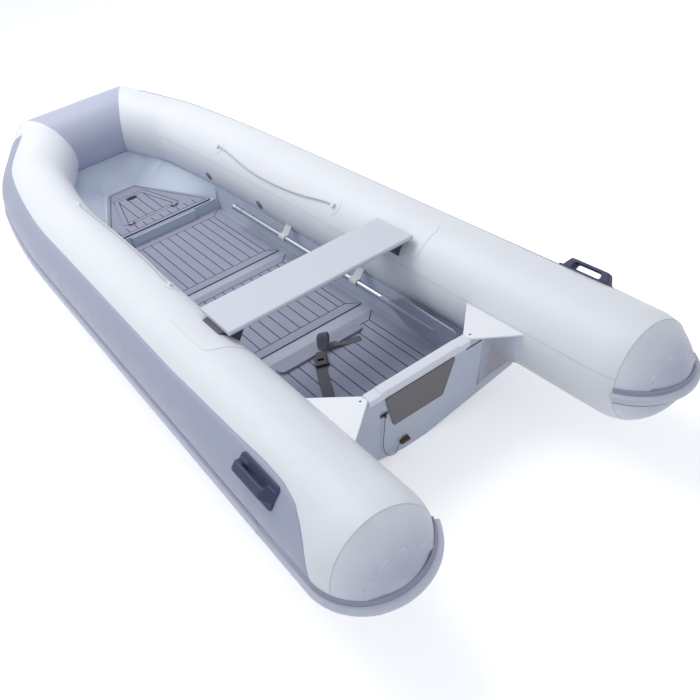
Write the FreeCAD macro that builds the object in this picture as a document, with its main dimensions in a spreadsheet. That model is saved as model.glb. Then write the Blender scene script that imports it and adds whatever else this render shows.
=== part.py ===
"""Inflatable boat with a rigid V hull: three air tubes round a decked hull, bow locker, seat and oars.

Row frame: +X to starboard, +Y to the bow, +Z up. The origin is under the keel, on the centre plane,
half way along the boat. All lengths are millimetres and all angles degrees.
"""
import FreeCAD, Part
import math
import os
import Sketcher

doc = FreeCAD.newDocument("InflatableBoat")
sheet = doc.addObject("Spreadsheet::Sheet", "Sizes")

# Driving sizes
# "From the knee line" means measured along the boat from the two holes in the knees on the transom.
SIZES = {
    # Air tubes: a straight stern, two bends and a straight leg into the mitred bow corner
    "tube_radius": 215,
    "tube_half_spacing": 602,
    "tube_height": 388,
    "seam_aft": 580,
    "tube_straight": 2233,
    "gentle_radius": 5730,
    "gentle_angle": 9.2,
    "tight_radius": 465,
    "tight_angle": 26.8,
    "bow_leg": 323,
    "sheer_tilt": 25.7,
    "skin_gap": 0.3,
    # Stern cones
    "cone_length": 128,
    "draw_in_run": 90,
    "cone_tip_radius": 62,
    "cone_tip_rise": 57,
    # Rubbing strake: a flat band with a D-shaped bead along its middle
    "strake_drop_angle": 11,
    "strake_band": 84,
    "strake_band_thick": 5,
    "strake_bead": 32,
    "strake_proud": 21,
    "strake_bead_round": 9,
    # Rigid hull
    "stem_past": 48,
    "stern_run": 150,
    "keel_flat": 110,
    "stem_height": 358,
    "chine_inset": 72,
    "chine_height": 108,
    "chine_rise": 190,
    "side_drop": 190,
    "deck_height": 116,
    "deck_inset": 207,
    "lip_drop": 120,
    "lip_tuck": 120,
    "lip_inset": 190,
    "lip_land": 5,
    "lip_over": 12,
    "rail_width": 26,
    "rail_depth": 13,
    # Transom
    "rake": 15.8,
    "transom_foot": 106,
    "transom_thick": 36,
    "transom_top": 456,
    "cap_thick": 3,
    "cap_skirt": 34,
    "cap_gap": 2,
    "cap_centre_inset": 54,
    "cap_centre_rise": 9,
    "cap_round": 4,
    "pad_top_inset": 74,
    "pad_draw_in": 45,
    "pad_gap": 2,
    "pad_tall": 205,
    "pad_thick": 8,
    "pad_round": 10,
    "slot_long": 80,
    "slot_tall": 9,
    "slot_from_centre": 271,
    "slot_drop": 42,
    # Knees
    "knee_thick": 6,
    "knee_reach": 356,
    "knee_tuck": 190,
    "knee_tip_half": 18,
    "knee_forward": 180,
    "knee_aft": 166,
    "knee_round": 14,
    "knee_hole_radius": 5,
    "knee_hole_inset": 20,
    "wing_start": 290,
    "wing_tuck": 152,
    "wing_reach": 170,
    "wing_hollow": 14,
    "wing_depth": 200,
    # Deck
    "sole_thick": 4,
    "sole_gap": 1,
    "plank_pad": 6,
    "groove_wide": 5,
    "groove_deep": 2,
    "plank_pitch": 58,
    "border_wide": 62,
    "plank_samples": 24,
    "panel_inset": 33,
    "panel_round": 12,
    "panel_aft_start": 118,
    "panel_aft_end": 868,
    "panel_middle_start": 954,
    "panel_middle_end": 1700,
    "panel_forward_start": 1771,
    "panel_forward_end": 2560,
    # Bow locker
    "locker_start": 2590,
    "locker_height": 192,
    "locker_plate": 6,
    "locker_inset": 19,
    "locker_nose": 3305,
    "locker_nose_half": 104,
    "well_end": 3090,
    "well_inset": 45,
    "well_nose_half": 128,
    "panel_bulge": 16,
    "panel_bulge_half": 226,
    "flare_inset": 10,
    "flare_short": 147,
    "flare_end_half": 88,
    "flare_end_height": 348,
    "lid_start": 2732,
    "lid_end": 3158,
    "lid_half": 198,
    "lid_nose_half": 108,
    "lid_plate": 3,
    "lid_gap": 5,
    "lid_round": 26,
    "pad_inset": 9,
    "pad_lip": 14,
    "pad_corner": 24,
    "hatch_rim": 22,
    # Lid hinges and pull
    "hinge_half_spacing": 150,
    "hinge_wide": 44,
    "hinge_leaf_long": 24,
    "hinge_leaf_thick": 2,
    "hinge_knuckle_radius": 4.5,
    "hinge_pin_radius": 2,
    "hinge_pin_play": 0.08,
    "hinge_side_play": 0.6,
    "pull_from_nose": 62,
    "pull_long": 76,
    "pull_wide": 46,
    "pull_flange": 2,
    "pull_recess": 1.2,
    "pull_rim": 9,
    "pull_grip_long": 44,
    "pull_grip_wide": 14,
    # Seat
    "seat_start": 578,
    "seat_end": 845,
    "seat_inset": 134,
    "seat_top": 600,
    "seat_thick": 20,
    "seat_round": 8,
    "bracket_wide": 150,
    "bracket_deep": 96,
    "bracket_thick": 6,
    "bracket_inset": 12,
    "bracket_foot_angle": 150,
    "patch_reach": 60,
    "seat_patch_round": 50,
    "patch_skin": 1.5,
    "seat_patch_long": 380,
    "seat_patch_wide": 205,
    "seat_patch_angle": 119,
    # Oars, lying along the tubes in two webbing loops
    "oar_inset": 252,
    "oar_height": 262,
    "oar_radius": 15,
    "oar_grip_radius": 17,
    "oar_knob_radius": 19,
    "oar_grip_end": 2235,
    "oar_grip_long": 110,
    "oar_shaft_end": 700,
    "oar_blade_end": 190,
    "oar_blade_tall": 150,
    "oar_blade_thick": 10,
    "oar_ferrule_radius": 17,
    "oar_ferrule_long": 60,
    "oar_shoulder": 150,
    "oar_tip_rise": 12,
    "oar_tip_round": 34,
    "oar_ridge_long": 330,
    "oar_ridge_radius": 8,
    "oar_throat": 12,
    "loop_forward": 1640,
    "loop_aft": 955,
    "loop_wide": 58,
    "loop_thick": 3,
    "loop_play": 1,
    "loop_anchor_angle": 199,
    "loop_anchor_tall": 44,
    "patch_small_round": 8,
    # Rope handholds and their patches, valves
    "rope_radius": 4,
    "rope_patch_radius": 48,
    "rope_eye_long": 24,
    "rope_eye_wide": 22,
    "rope_eye_tall": 15,
    "rope_eye_round": 4,
    "rope_forward": 2475,
    "rope_aft": 1205,
    "rope_angle": 131.5,
    "valve_radius": 27,
    "valve_proud": 4,
    "valve_cap_radius": 18,
    "valve_slot": 5,
    "valve_angle": 191,
    "valve_forward": 2590,
    "valve_past_loop": 305,
    # Moulded handles
    "handle_angle": 41,
    "handle_middle": -133,
    "handle_long": 250,
    "handle_base_wide": 92,
    "handle_base_thick": 7,
    "handle_proud": 46,
    "handle_bar_wide": 40,
    "handle_bar_thick": 15,
    "handle_foot": 46,
    "handle_round": 20,
    "bow_handle_long": 210,
    "bow_handle_angle": 28,
    # Tank stop and strap
    "stop_middle": 792,
    "stop_half": 235,
    "stop_wide": 64,
    "stop_tall": 13,
    "stop_round": 30,
    "strap_wide": 50,
    "strap_thick": 3,
    "strap_turn": 24,
    "stop_clear": 2,
    "strap_loop_rise": 84,
    "strap_loop_half": 44,
    "strap_loop_spot": 8,
    "strap_far_tail": 90,
    "strap_tail": 300,
    "buckle_side": -12,
    "buckle_back": 102,
    "buckle_long": 72,
    "buckle_wide": 62,
    "buckle_tall": 16,
    "buckle_round": 5,
    # Drain, its lanyard and the tow eye
    "drain_side": -62,
    "drain_height": 70,
    "drain_bore_radius": 11,
    "drain_flange_radius": 24,
    "drain_flange_thick": 4,
    "drain_plug_long": 22,
    "drain_wing_long": 46,
    "drain_wing_thick": 7,
    "drain_wing_tall": 14,
    "eye_side": -173,
    "eye_height": 325,
    "eye_long": 34,
    "eye_thick": 5,
    "eye_out": 15,
    "lanyard_radius": 1.5,
    "tow_from_nose": 150,
    "tow_radius": 6,
    "tow_bow_radius": 24,
    "tow_plate_thick": 5,
    "tow_plate_wide": 34,
    "tow_plate_tall": 96,
    # One overrun serves every cut
    "overrun": 40,
}

# Shares that shape a curve between two named sizes
# Each ring of the drawn-in end: how far along from the full tube to the tip, how far drawn in, how far risen.
# The third ring is the seam.
CONE_SHARES = ((0.0, 0.0, 0.0), (0.206, 0.020, 0.016), (0.413, 0.075, 0.090), (0.931, 0.771, 0.93),
               (1.0, 1.0, 1.0))
RAIL_SHARE = 0.46
# Each hull station: how far along the hull, keel's rise to the stem, keel's width, chine's width and rise
HULL_SHARES = (
    (0.442, 0.0, 1.0, 1.0, 0.0),
    (0.528, 0.0, 1.0, 0.989, 0.016),
    (0.663, 0.0, 1.0, 0.943, 0.095),
    (0.718, 0.0, 1.0, 0.904, 0.174),
    (0.801, 0.024, 1.0, 0.821, 0.342),
    (0.8425, 0.073, 0.95, 0.760, 0.474),
    (0.884, 0.177, 0.80, 0.679, 0.632),
    (0.914, 0.305, 0.65, 0.608, 0.737),
    (0.945, 0.497, 0.50, 0.528, 0.842),
    (0.967, 0.674, 0.40, 0.449, 0.911),
    (0.983, 0.811, 0.33, 0.377, 0.947),
    (1.0, 1.0, 0.25, 0.283, 1.0),
)
# Flare over the locker: how far from the locker's front to the flare's end, how far its foot has drawn in,
# how far the foot has risen
FLARE_SHARES = (
    (0.0, 0.0, 0.0),
    (0.371, 0.394, 0.0),
    (0.731, 0.774, 0.0),
    (0.874, 0.926, 0.0),
    (1.0, 1.0, 1.0),
)

row = 1
for alias, amount in SIZES.items():
    sheet.set(f"A{row}", alias)
    sheet.set(f"B{row}", str(amount))
    sheet.setAlias(f"B{row}", alias)
    row += 1
doc.recompute()


class Size:
    """A named size, or a sum, share or angle function of some: its value and its expression."""

    def __init__(self, value, text):
        self.value = float(value)
        self.text = text

    def __float__(self):
        return self.value

    def __add__(self, other):
        return Size(self.value + float(other), f"({self.text} + {text_of(other)})")

    def __sub__(self, other):
        return Size(self.value - float(other), f"({self.text} - {text_of(other)})")

    def __mul__(self, other):
        return Size(self.value * float(other), f"({self.text} * {text_of(other)})")

    def __truediv__(self, other):
        return Size(self.value / float(other), f"({self.text} / {text_of(other)})")

    def __neg__(self):
        return Size(-self.value, f"(0 - {self.text})")

    __rmul__ = __mul__
    __radd__ = __add__


def text_of(amount):
    return amount.text if isinstance(amount, Size) else repr(float(amount))


def sin_of(angle):
    return Size(math.sin(math.radians(angle)), f"sin({text_of(angle)})")


def cos_of(angle):
    return Size(math.cos(math.radians(angle)), f"cos({text_of(angle)})")


class Sizes:
    """Reads each alias of the sheet as a Size."""

    def __getattr__(self, alias):
        return Size(sheet.get(alias), f"Sizes.{alias}")


S = Sizes()
ZERO = Size(0, "0")

# Places worked out from the sizes
bow_turn = S.gentle_angle + S.tight_angle
corner_run = (
    S.tube_straight
    + S.gentle_radius * sin_of(S.gentle_angle)
    + S.tight_radius * (sin_of(bow_turn) - sin_of(S.gentle_angle))
    + S.bow_leg * cos_of(bow_turn)
)
aft_reach = S.seam_aft + S.cone_length + S.strake_proud
bow_reach = corner_run + S.tube_radius + S.strake_proud
knee_line = (aft_reach - bow_reach) / 2
hull_run = corner_run + S.stem_past
flare_end = corner_run - S.flare_short
chine_half = S.tube_half_spacing - S.chine_inset
deck_half = S.tube_half_spacing - S.deck_inset
panel_half = deck_half - S.panel_inset
locker_half = deck_half - S.locker_inset
well_half = deck_half - S.well_inset
flare_half = deck_half - S.flare_inset
knee_inner = S.tube_half_spacing - S.knee_reach
knee_outer = S.tube_half_spacing - S.knee_tuck
wing_inner = S.tube_half_spacing - S.wing_start
wing_outer = S.tube_half_spacing - S.wing_tuck
cap_half = knee_inner - S.cap_gap
cap_centre_half = cap_half - S.cap_centre_inset
pad_top_half = cap_half - S.pad_top_inset
pad_bottom_half = pad_top_half - S.pad_draw_in
seat_half = S.tube_half_spacing - S.seat_inset
oar_half = S.tube_half_spacing - S.oar_inset
valve_aft = S.loop_forward + S.valve_past_loop


def vec(x, y, z):
    return FreeCAD.Vector(float(x), float(y), float(z))


ORIGIN = vec(0, 0, 0)
ACROSS = vec(1, 0, 0)
AHEAD = vec(0, 1, 0)
UP = vec(0, 0, 1)
PARTS = []


def keep(item, label):
    """Marks a finished sub-part, to be checked and written."""
    item.Label = label
    PARTS.append(item)
    return item


def feature(name, shape):
    item = doc.addObject("Part::Feature", name)
    item.Shape = shape
    return item


def mirrored(item, label):
    """The port twin of a starboard sub-part."""
    twin = doc.addObject("Part::Mirroring", label)
    twin.Source = item
    twin.Normal = ACROSS
    return keep(twin, label)


def cut_by(item, tool, label):
    cut = doc.addObject("Part::Cut", label)
    cut.Base = item
    cut.Tool = tool
    return cut


# Sketch helpers
def new_body(name):
    return doc.addObject("PartDesign::Body", name)


def sketch_on(body, role, name, lift=ZERO):
    sketch = body.newObject("Sketcher::SketchObject", name)
    plane = [item for item in body.Origin.OriginFeatures if item.Role == role][0]
    sketch.AttachmentSupport = (plane, [""])
    sketch.MapMode = "FlatFace"
    sketch.setExpression(".AttachmentOffset.Base.z", lift.text)
    return sketch


def outline(sketch, points):
    """A closed outline whose every corner is held by two sizes."""
    first = sketch.GeometryCount
    count = len(points)
    for step in range(count):
        start, end = points[step], points[(step + 1) % count]
        sketch.addGeometry(Part.LineSegment(vec(start[0], start[1], 0), vec(end[0], end[1], 0)), False)
    for step in range(count):
        after = first + (step + 1) % count
        sketch.addConstraint(Sketcher.Constraint("Coincident", first + step, 2, after, 1))
    for step, (across, along) in enumerate(points):
        for kind, amount in (("DistanceX", across), ("DistanceY", along)):
            held = sketch.addConstraint(Sketcher.Constraint(kind, -1, 1, first + step, 1, float(amount)))
            sketch.setExpression(f"Constraints[{held}]", text_of(amount))
    return sketch


def circle_in(sketch, across, along, radius):
    """A circle held by its centre's two sizes and its radius."""
    index = sketch.addGeometry(Part.Circle(vec(across, along, 0), UP, float(radius)), False)
    for kind, amount in (("DistanceX", across), ("DistanceY", along)):
        held = sketch.addConstraint(Sketcher.Constraint(kind, -1, 1, index, 3, float(amount)))
        sketch.setExpression(f"Constraints[{held}]", text_of(amount))
    held = sketch.addConstraint(Sketcher.Constraint("Radius", index, float(radius)))
    sketch.setExpression(f"Constraints[{held}]", text_of(radius))
    return sketch


def padded(body, sketch, length, name, both_ways=False, reverse=False):
    pad = body.newObject("PartDesign::Pad", name)
    pad.Profile = sketch
    pad.setExpression("Length", text_of(length))
    pad.Midplane = both_ways
    pad.Reversed = reverse
    return pad


def pocketed(body, sketch, depth, name, both_ways=False, reverse=False):
    pocket = body.newObject("PartDesign::Pocket", name)
    pocket.Profile = sketch
    pocket.setExpression("Length", text_of(depth))
    pocket.Midplane = both_ways
    pocket.Reversed = reverse
    return pocket


def edges_along(shape, direction, test=None):
    """Names of the straight edges of a shape that run along a direction."""
    names = []
    for number, edge in enumerate(shape.Edges, start=1):
        if len(edge.Vertexes) != 2:
            continue
        run = edge.Vertexes[1].Point - edge.Vertexes[0].Point
        if run.cross(direction).Length < run.Length / 1000 and (test is None or test(edge.CenterOfMass)):
            names.append(f"Edge{number}")
    return names


def rounded(body, base, direction, radius, name, test=None):
    doc.recompute()
    fillet = body.newObject("PartDesign::Fillet", name)
    fillet.Base = (base, edges_along(base.Shape, direction, test))
    fillet.setExpression("Radius", text_of(radius))
    return fillet


def place(item, across, along, height):
    """Puts an item at a point held by sizes."""
    item.Placement = FreeCAD.Placement(vec(across, along, height), item.Placement.Rotation)
    for axis, amount in (("x", across), ("y", along), ("z", height)):
        item.setExpression(f".Placement.Base.{axis}", text_of(amount))
    return item


def turn_about(item, axis, angle):
    item.Placement = FreeCAD.Placement(item.Placement.Base, FreeCAD.Rotation(axis, float(angle)))
    return item


# Air tube path: a flat run of straights and turns, tilted about the boat's length so the bow rises
TUBE_LEGS = (
    ("straight", S.seam_aft + S.tube_straight),
    ("turn", S.gentle_radius, S.gentle_angle),
    ("turn", S.tight_radius, S.tight_angle),
)
mitre_over = S.tube_radius * 2


def tilted(shape):
    """Carries a shape from the flat run of the starboard tube to its place on the boat."""
    turned = shape.copy()
    turned.rotate(ORIGIN, AHEAD, float(S.sheer_tilt))
    turned.translate(vec(S.tube_half_spacing, knee_line - S.seam_aft, S.tube_height))
    return turned


def tilted_point(point):
    turned = FreeCAD.Rotation(AHEAD, float(S.sheer_tilt)).multVec(point)
    return turned + vec(S.tube_half_spacing, knee_line - S.seam_aft, S.tube_height)


def tilted_way(way):
    return FreeCAD.Rotation(AHEAD, float(S.sheer_tilt)).multVec(way)


def run_state(run):
    """Point and heading on the flat run at a distance from the cone seam."""
    point = vec(0, 0, 0)
    heading = 0.0
    left = float(run)
    for leg in TUBE_LEGS + (("straight", S.bow_leg + mitre_over),):
        if leg[0] == "straight":
            step = min(left, float(leg[1]))
            point = point + vec(-math.sin(heading), math.cos(heading), 0) * step
        else:
            radius = float(leg[1])
            step = min(left, radius * math.radians(leg[2]))
            centre = point + vec(-math.cos(heading), -math.sin(heading), 0) * radius
            heading += step / radius
            point = centre + vec(math.cos(heading), math.sin(heading), 0) * radius
        left -= step
        if left <= 0:
            break
    return point, heading


def tube_frame(along, angle, proud=ZERO):
    """On the starboard tube: a point, its outward way and the tube's own way ahead.

    along is measured from the knee line, and angle goes from outboard (0) over the top (90) to inboard (180).
    """
    point, heading = run_state(S.seam_aft + along)
    outboard = tilted_way(vec(math.cos(heading), math.sin(heading), 0))
    upward = tilted_way(UP)
    ahead = tilted_way(vec(-math.sin(heading), math.cos(heading), 0))
    flat_angle = math.radians(angle + S.sheer_tilt)
    outward = outboard * math.cos(flat_angle) + upward * math.sin(flat_angle)
    return tilted_point(point) + outward * float(S.tube_radius + proud), outward, ahead


def swept(face, legs):
    """The solid that a face leaves along the flat run, as exact prisms and rings."""
    pieces = []
    point = vec(0, 0, 0)
    heading = 0.0
    for leg in legs:
        if leg[0] == "straight":
            step = vec(-math.sin(heading), math.cos(heading), 0) * float(leg[1])
            pieces.append(face.extrude(step))
            face = face.translated(step)
            point = point + step
        else:
            centre = point + vec(-math.cos(heading), -math.sin(heading), 0) * float(leg[1])
            pieces.append(face.revolve(centre, UP, float(leg[2])))
            face = face.rotated(centre, UP, float(leg[2]))
            heading += math.radians(leg[2])
            point = centre + vec(math.cos(heading), math.sin(heading), 0) * float(leg[1])
    whole = pieces[0].fuse(pieces[1:])
    return whole.removeSplitter()


corner_length = (
    S.seam_aft
    + S.tube_straight
    + S.gentle_radius * math.radians(S.gentle_angle)
    + S.tight_radius * math.radians(S.tight_angle)
    + S.bow_leg
)
corner_point, corner_heading = run_state(corner_length)
corner = tilted_point(corner_point)
corner_way = tilted_way(vec(-math.sin(math.radians(bow_turn)), math.cos(math.radians(bow_turn)), 0))
mitre_way = (corner_way - ACROSS).normalize()
BIG = (S.tube_half_spacing + S.tube_radius) * 2


def half_space(point, way):
    """A big block on the far side of a plane."""
    half = float(BIG)
    block = Part.makeBox(half * 2, half * 2, half, vec(-half, -half, 0))
    block.Placement = FreeCAD.Placement(point, FreeCAD.Rotation(UP, way))
    return block


def mirrored_way(way):
    return vec(-way.x, way.y, way.z)


def mirrored_point(point):
    return vec(-point.x, point.y, point.z)


def disc(radius, centre=ORIGIN, way=AHEAD):
    return Part.Face(Part.Wire(Part.Circle(centre, way, float(radius)).toShape()))


ALL_LEGS = TUBE_LEGS + (("straight", S.bow_leg + mitre_over),)


def end_rings(grow=ZERO):
    """The drawn-in end of the starboard tube: rings that shrink and rise from full to the flat tip."""
    rings = []
    for along_share, radius_share, rise_share in CONE_SHARES:
        radius = S.tube_radius - (S.tube_radius - S.cone_tip_radius) * radius_share + grow
        back = (S.draw_in_run + S.cone_length + grow) * along_share - S.draw_in_run
        rise = S.cone_tip_rise * rise_share
        centre = vec(S.tube_half_spacing, knee_line - S.seam_aft - back, S.tube_height + rise)
        rings.append(Part.Wire(Part.Circle(centre, AHEAD, float(radius)).toShape()))
    return Part.makeLoft(rings, True, True)


SEAM = vec(S.tube_half_spacing, knee_line - S.seam_aft, S.tube_height)
FULL_TUBE = SEAM + AHEAD * float(S.draw_in_run)


def tube_solid(radius):
    """The starboard side tube, from the cone seam to the mitre, at a radius."""
    whole = tilted(swept(disc(radius), ALL_LEGS)).cut(half_space(corner, mitre_way))
    whole = whole.cut(half_space(FULL_TUBE, -AHEAD))
    end = end_rings(radius - S.tube_radius).cut(half_space(SEAM, -AHEAD))
    return whole.fuse(end).removeSplitter()


def bow_solid(radius):
    """The bow tube between its two mitres, at a radius."""
    reach = corner.x + float(mitre_over)
    rod = Part.makeCylinder(float(radius), reach * 2, vec(-reach, corner.y, corner.z), ACROSS)
    rod = rod.cut(half_space(corner, -mitre_way))
    return rod.cut(half_space(mirrored_point(corner), mirrored_way(-mitre_way)))


def cone_solid(grow=ZERO):
    """The starboard stern cone, from the seam to the tip."""
    return end_rings(grow).cut(half_space(SEAM, AHEAD))


def air_tubes():
    starboard = keep(feature("tube_starboard", tube_solid(S.tube_radius)), "tube_starboard")
    mirrored(starboard, "tube_port")
    keep(feature("tube_bow", bow_solid(S.tube_radius)), "tube_bow")
    starboard_cone = keep(feature("cone_starboard", cone_solid()), "cone_starboard")
    mirrored(starboard_cone, "cone_port")


air_tubes()


# Rubbing strake
def strake_profile():
    """The band hugs the tube and the bead stands out of its middle, below the tube's widest line."""
    inner = float(S.tube_radius + S.skin_gap)
    outer = inner + float(S.strake_band_thick)
    middle = math.radians(S.sheer_tilt - S.strake_drop_angle)
    half = float(S.strake_band) / 2 / inner

    def around(radius, angle):
        return vec(radius * math.cos(angle), 0, radius * math.sin(angle))

    radial = around(1, middle)
    sideways = vec(-radial.z, 0, radial.x)
    crown = float(S.tube_radius + S.strake_proud)
    side = float(S.strake_bead) / 2
    root = math.asin(side / outer)
    turn = float(S.strake_bead_round)
    inside = turn * (1 - math.sqrt(0.5))

    def at(out, across):
        return radial * out + sideways * across

    low, high = middle - half, middle + half
    return Part.Face(Part.Wire([
        Part.Arc(around(inner, low), around(inner, middle), around(inner, high)).toShape(),
        Part.LineSegment(around(inner, high), around(outer, high)).toShape(),
        Part.Arc(around(outer, high), around(outer, (high + middle + root) / 2),
                 around(outer, middle + root)).toShape(),
        Part.LineSegment(around(outer, middle + root), at(crown - turn, side)).toShape(),
        Part.Arc(at(crown - turn, side), at(crown - inside, side - inside), at(crown, side - turn)).toShape(),
        Part.LineSegment(at(crown, side - turn), at(crown, turn - side)).toShape(),
        Part.Arc(at(crown, turn - side), at(crown - inside, inside - side),
                 at(crown - turn, -side)).toShape(),
        Part.LineSegment(at(crown - turn, -side), around(outer, middle - root)).toShape(),
        Part.Arc(around(outer, middle - root), around(outer, (low + middle - root) / 2),
                 around(outer, low)).toShape(),
        Part.LineSegment(around(outer, low), around(inner, low)).toShape(),
    ]))


def end_wrap(grow, tall):
    """The skin round the drawn-in end between two levels, as thick as it has grown."""
    level = S.tube_height - S.tube_radius * sin_of(S.strake_drop_angle)
    reach = S.tube_radius + S.strake_proud
    long = S.draw_in_run + S.cone_length + S.strake_proud
    slab = Part.makeBox(float(reach * 2), float(long), float(tall))
    slab.translate(vec(S.tube_half_spacing - reach, FULL_TUBE.y - float(long), level - tall / 2))
    return end_rings(grow).common(slab)


def strake():
    face = strake_profile()
    side = tilted(swept(face, ALL_LEGS)).cut(half_space(corner, mitre_way)).cut(half_space(FULL_TUBE, -AHEAD))
    wrap = end_wrap(S.skin_gap + S.strake_band_thick, S.strake_band)
    wrap = wrap.fuse(end_wrap(S.strake_proud, S.strake_bead)).cut(end_rings(S.skin_gap))
    inboard = Part.makeBox(float(S.tube_radius * 2), float(S.draw_in_run * 2), float(S.tube_radius * 2), SEAM)
    inboard.translate(vec(-S.tube_radius * 2, ZERO, -S.tube_radius))
    wrap = wrap.cut(inboard)
    keep(feature("strake_starboard", side.fuse(wrap)), "strake_starboard")
    mirrored(PARTS[-1], "strake_port")
    # Across the bow the section is the side strake's, reflected in the mitre
    end = face.rotated(ORIGIN, UP, math.degrees(corner_heading))
    end = tilted(end.translated(corner_point)).mirror(corner, mitre_way)
    end.translate(ACROSS * float(mitre_over))
    bow = end.extrude(ACROSS * (-2 * (corner.x + float(mitre_over))))
    bow = bow.cut(half_space(corner, -mitre_way))
    bow = bow.cut(half_space(mirrored_point(corner), mirrored_way(-mitre_way)))
    keep(feature("strake_bow", bow), "strake_bow")


strake()


# Rigid hull
HULL_STATIONS = ((float(-S.stern_run / hull_run), 0.0, 1.0, 1.0, 0.0),) + HULL_SHARES
RAIL_STATIONS = 8
COCKPIT_SHARES = (0.3, 0.6, 0.8, 1.0)


def tube_centre(ahead):
    """Where the starboard tube's centre line is at a distance ahead of the knee line: across and height."""
    low = 0.0
    high = float(corner_length + mitre_over)
    for _ in range(50):
        middle = (low + high) / 2
        point = run_state(middle)[0]
        if point.y < float(S.seam_aft + ahead):
            low = middle
        else:
            high = middle
    point = tilted_point(run_state(low)[0])
    return point.x, point.z


def both_sides(starboard, ahead):
    """A closed section from its starboard half, listed from the bottom up."""
    y = float(knee_line + ahead)
    points = [vec(x, y, z) for x, z in starboard] + [vec(-x, y, z) for x, z in reversed(starboard)]
    return Part.makePolygon(points + points[:1])


def hull_section(ahead, shares):
    rise, keel_share, chine_share, chine_rise_share = shares
    x, z = tube_centre(ahead)
    keel = float(S.keel_flat) / 2 * keel_share
    return both_sides([
        (keel, float(S.stem_height) * rise),
        (float(chine_half) * chine_share, float(S.chine_height + S.chine_rise * chine_rise_share)),
        (x, z - float(S.side_drop)),
        (x - float(S.lip_tuck), z - float(S.lip_drop)),
        (max(x - float(S.lip_inset), keel), z - float(S.lip_drop)),
    ], ahead)


def room_section(ahead, half, floor, over):
    """A section of the space between the tubes, its sides leaning out from a floor past the hull's lip."""
    x, z = tube_centre(ahead)
    side = x - float(S.lip_inset - S.lip_land)
    lip = z - float(S.lip_drop)
    past = (side - half) / (lip - floor) * float(S.lip_over)
    return both_sides([(half, floor), (side + past, lip + float(S.lip_over)),
                       (side + past, z + float(over))], ahead)


def behind_transom(thick):
    """Everything aft of the transom's aft face, or of a plane further forward in it."""
    way = vec(0, -cos_of(S.rake), -sin_of(S.rake))
    return half_space(vec(0, knee_line + S.transom_foot, 0) - way * float(thick), way)


def tube_room():
    """All that the three tubes take up, with a thin gap."""
    grown = S.tube_radius + S.skin_gap
    side = tube_solid(grown).fuse(cone_solid(S.skin_gap))
    return [side, side.mirror(ORIGIN, ACROSS), bow_solid(grown)]


TUBE_ROOM = tube_room()
tubes_room = feature("tubes_room", Part.makeCompound(TUBE_ROOM[:2]))


def spray_rail():
    """A square rail along each V panel, running out where the panel twists up to the stem."""
    sections = []
    width = float(S.rail_width)
    depth = float(S.rail_depth)
    for share, rise, keel_share, chine_share, chine_rise_share in HULL_STATIONS[:RAIL_STATIONS]:
        ahead = hull_run * share
        keel = vec(float(S.keel_flat) / 2 * keel_share, 0, float(S.stem_height) * rise)
        chine = vec(float(chine_half) * chine_share, 0,
                    float(S.chine_height + S.chine_rise * chine_rise_share))
        run = (chine - keel).normalize()
        down = vec(run.z, 0, -run.x)
        middle = keel + (chine - keel) * RAIL_SHARE + vec(0, knee_line + ahead, 0)
        corners = [middle + run * (side * width / 2) + down * (out * depth)
                   for side, out in ((-1, -1), (1, -1), (1, 1), (-1, 1))]
        sections.append(Part.makePolygon(corners + corners[:1]))
    return Part.makeLoft(sections, True, True)


def hull():
    sections = [hull_section(hull_run * row[0], row[1:]) for row in HULL_STATIONS]
    body = Part.makeLoft(sections, True, True)
    rail = spray_rail()
    body = body.fuse([rail, rail.mirror(ORIGIN, ACROSS)])
    over = S.tube_radius
    # Cockpit between the tubes, down to the deck
    spots = [-S.stern_run, S.tube_straight]
    spots += [S.tube_straight + (S.locker_start - S.tube_straight) * share for share in COCKPIT_SHARES]
    cockpit = Part.makeLoft([room_section(spot, float(deck_half), float(S.deck_height), over)
                             for spot in spots], True, True)
    # Flare over the locker
    rows = []
    for along, inward, rise in FLARE_SHARES:
        spot = S.locker_start + (flare_end - S.locker_start) * along
        half = flare_half - (flare_half - S.flare_end_half) * inward
        start_height = S.locker_height - S.locker_plate
        foot = start_height + (S.flare_end_height - S.locker_height + S.locker_plate) * rise
        rows.append(room_section(spot, float(half), float(foot), over))
    flare = Part.makeLoft(rows, True, True)
    # Well under the locker's lid
    well_floor = []
    for spot, half in ((S.locker_start, well_half), (S.well_end, S.well_nose_half)):
        well_floor += [vec(half, knee_line + spot, S.deck_height)]
    well_floor += [mirrored_point(point) for point in reversed(well_floor)]
    well = Part.Face(Part.makePolygon(well_floor + well_floor[:1])).extrude(UP * float(S.locker_height))
    for tool in [cockpit, flare, well, behind_transom(S.transom_thick + S.skin_gap)] + TUBE_ROOM:
        before = body.Volume
        body = max(body.cut(tool).Solids, key=lambda solid: solid.Volume)
        if before - body.Volume < float(S.skin_gap):
            raise RuntimeError("a cut left the hull as it was")
    return body


hull_shell = keep(feature("hull_shell", hull()), "hull_shell")


# Transom, its cap and pads, and the knees
def on_transom(item):
    """Leans an item with the transom, its own origin at the foot of the aft face."""
    place(item, ZERO, knee_line + S.transom_foot, ZERO)
    return turn_about(item, ACROSS, S.rake)


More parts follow.
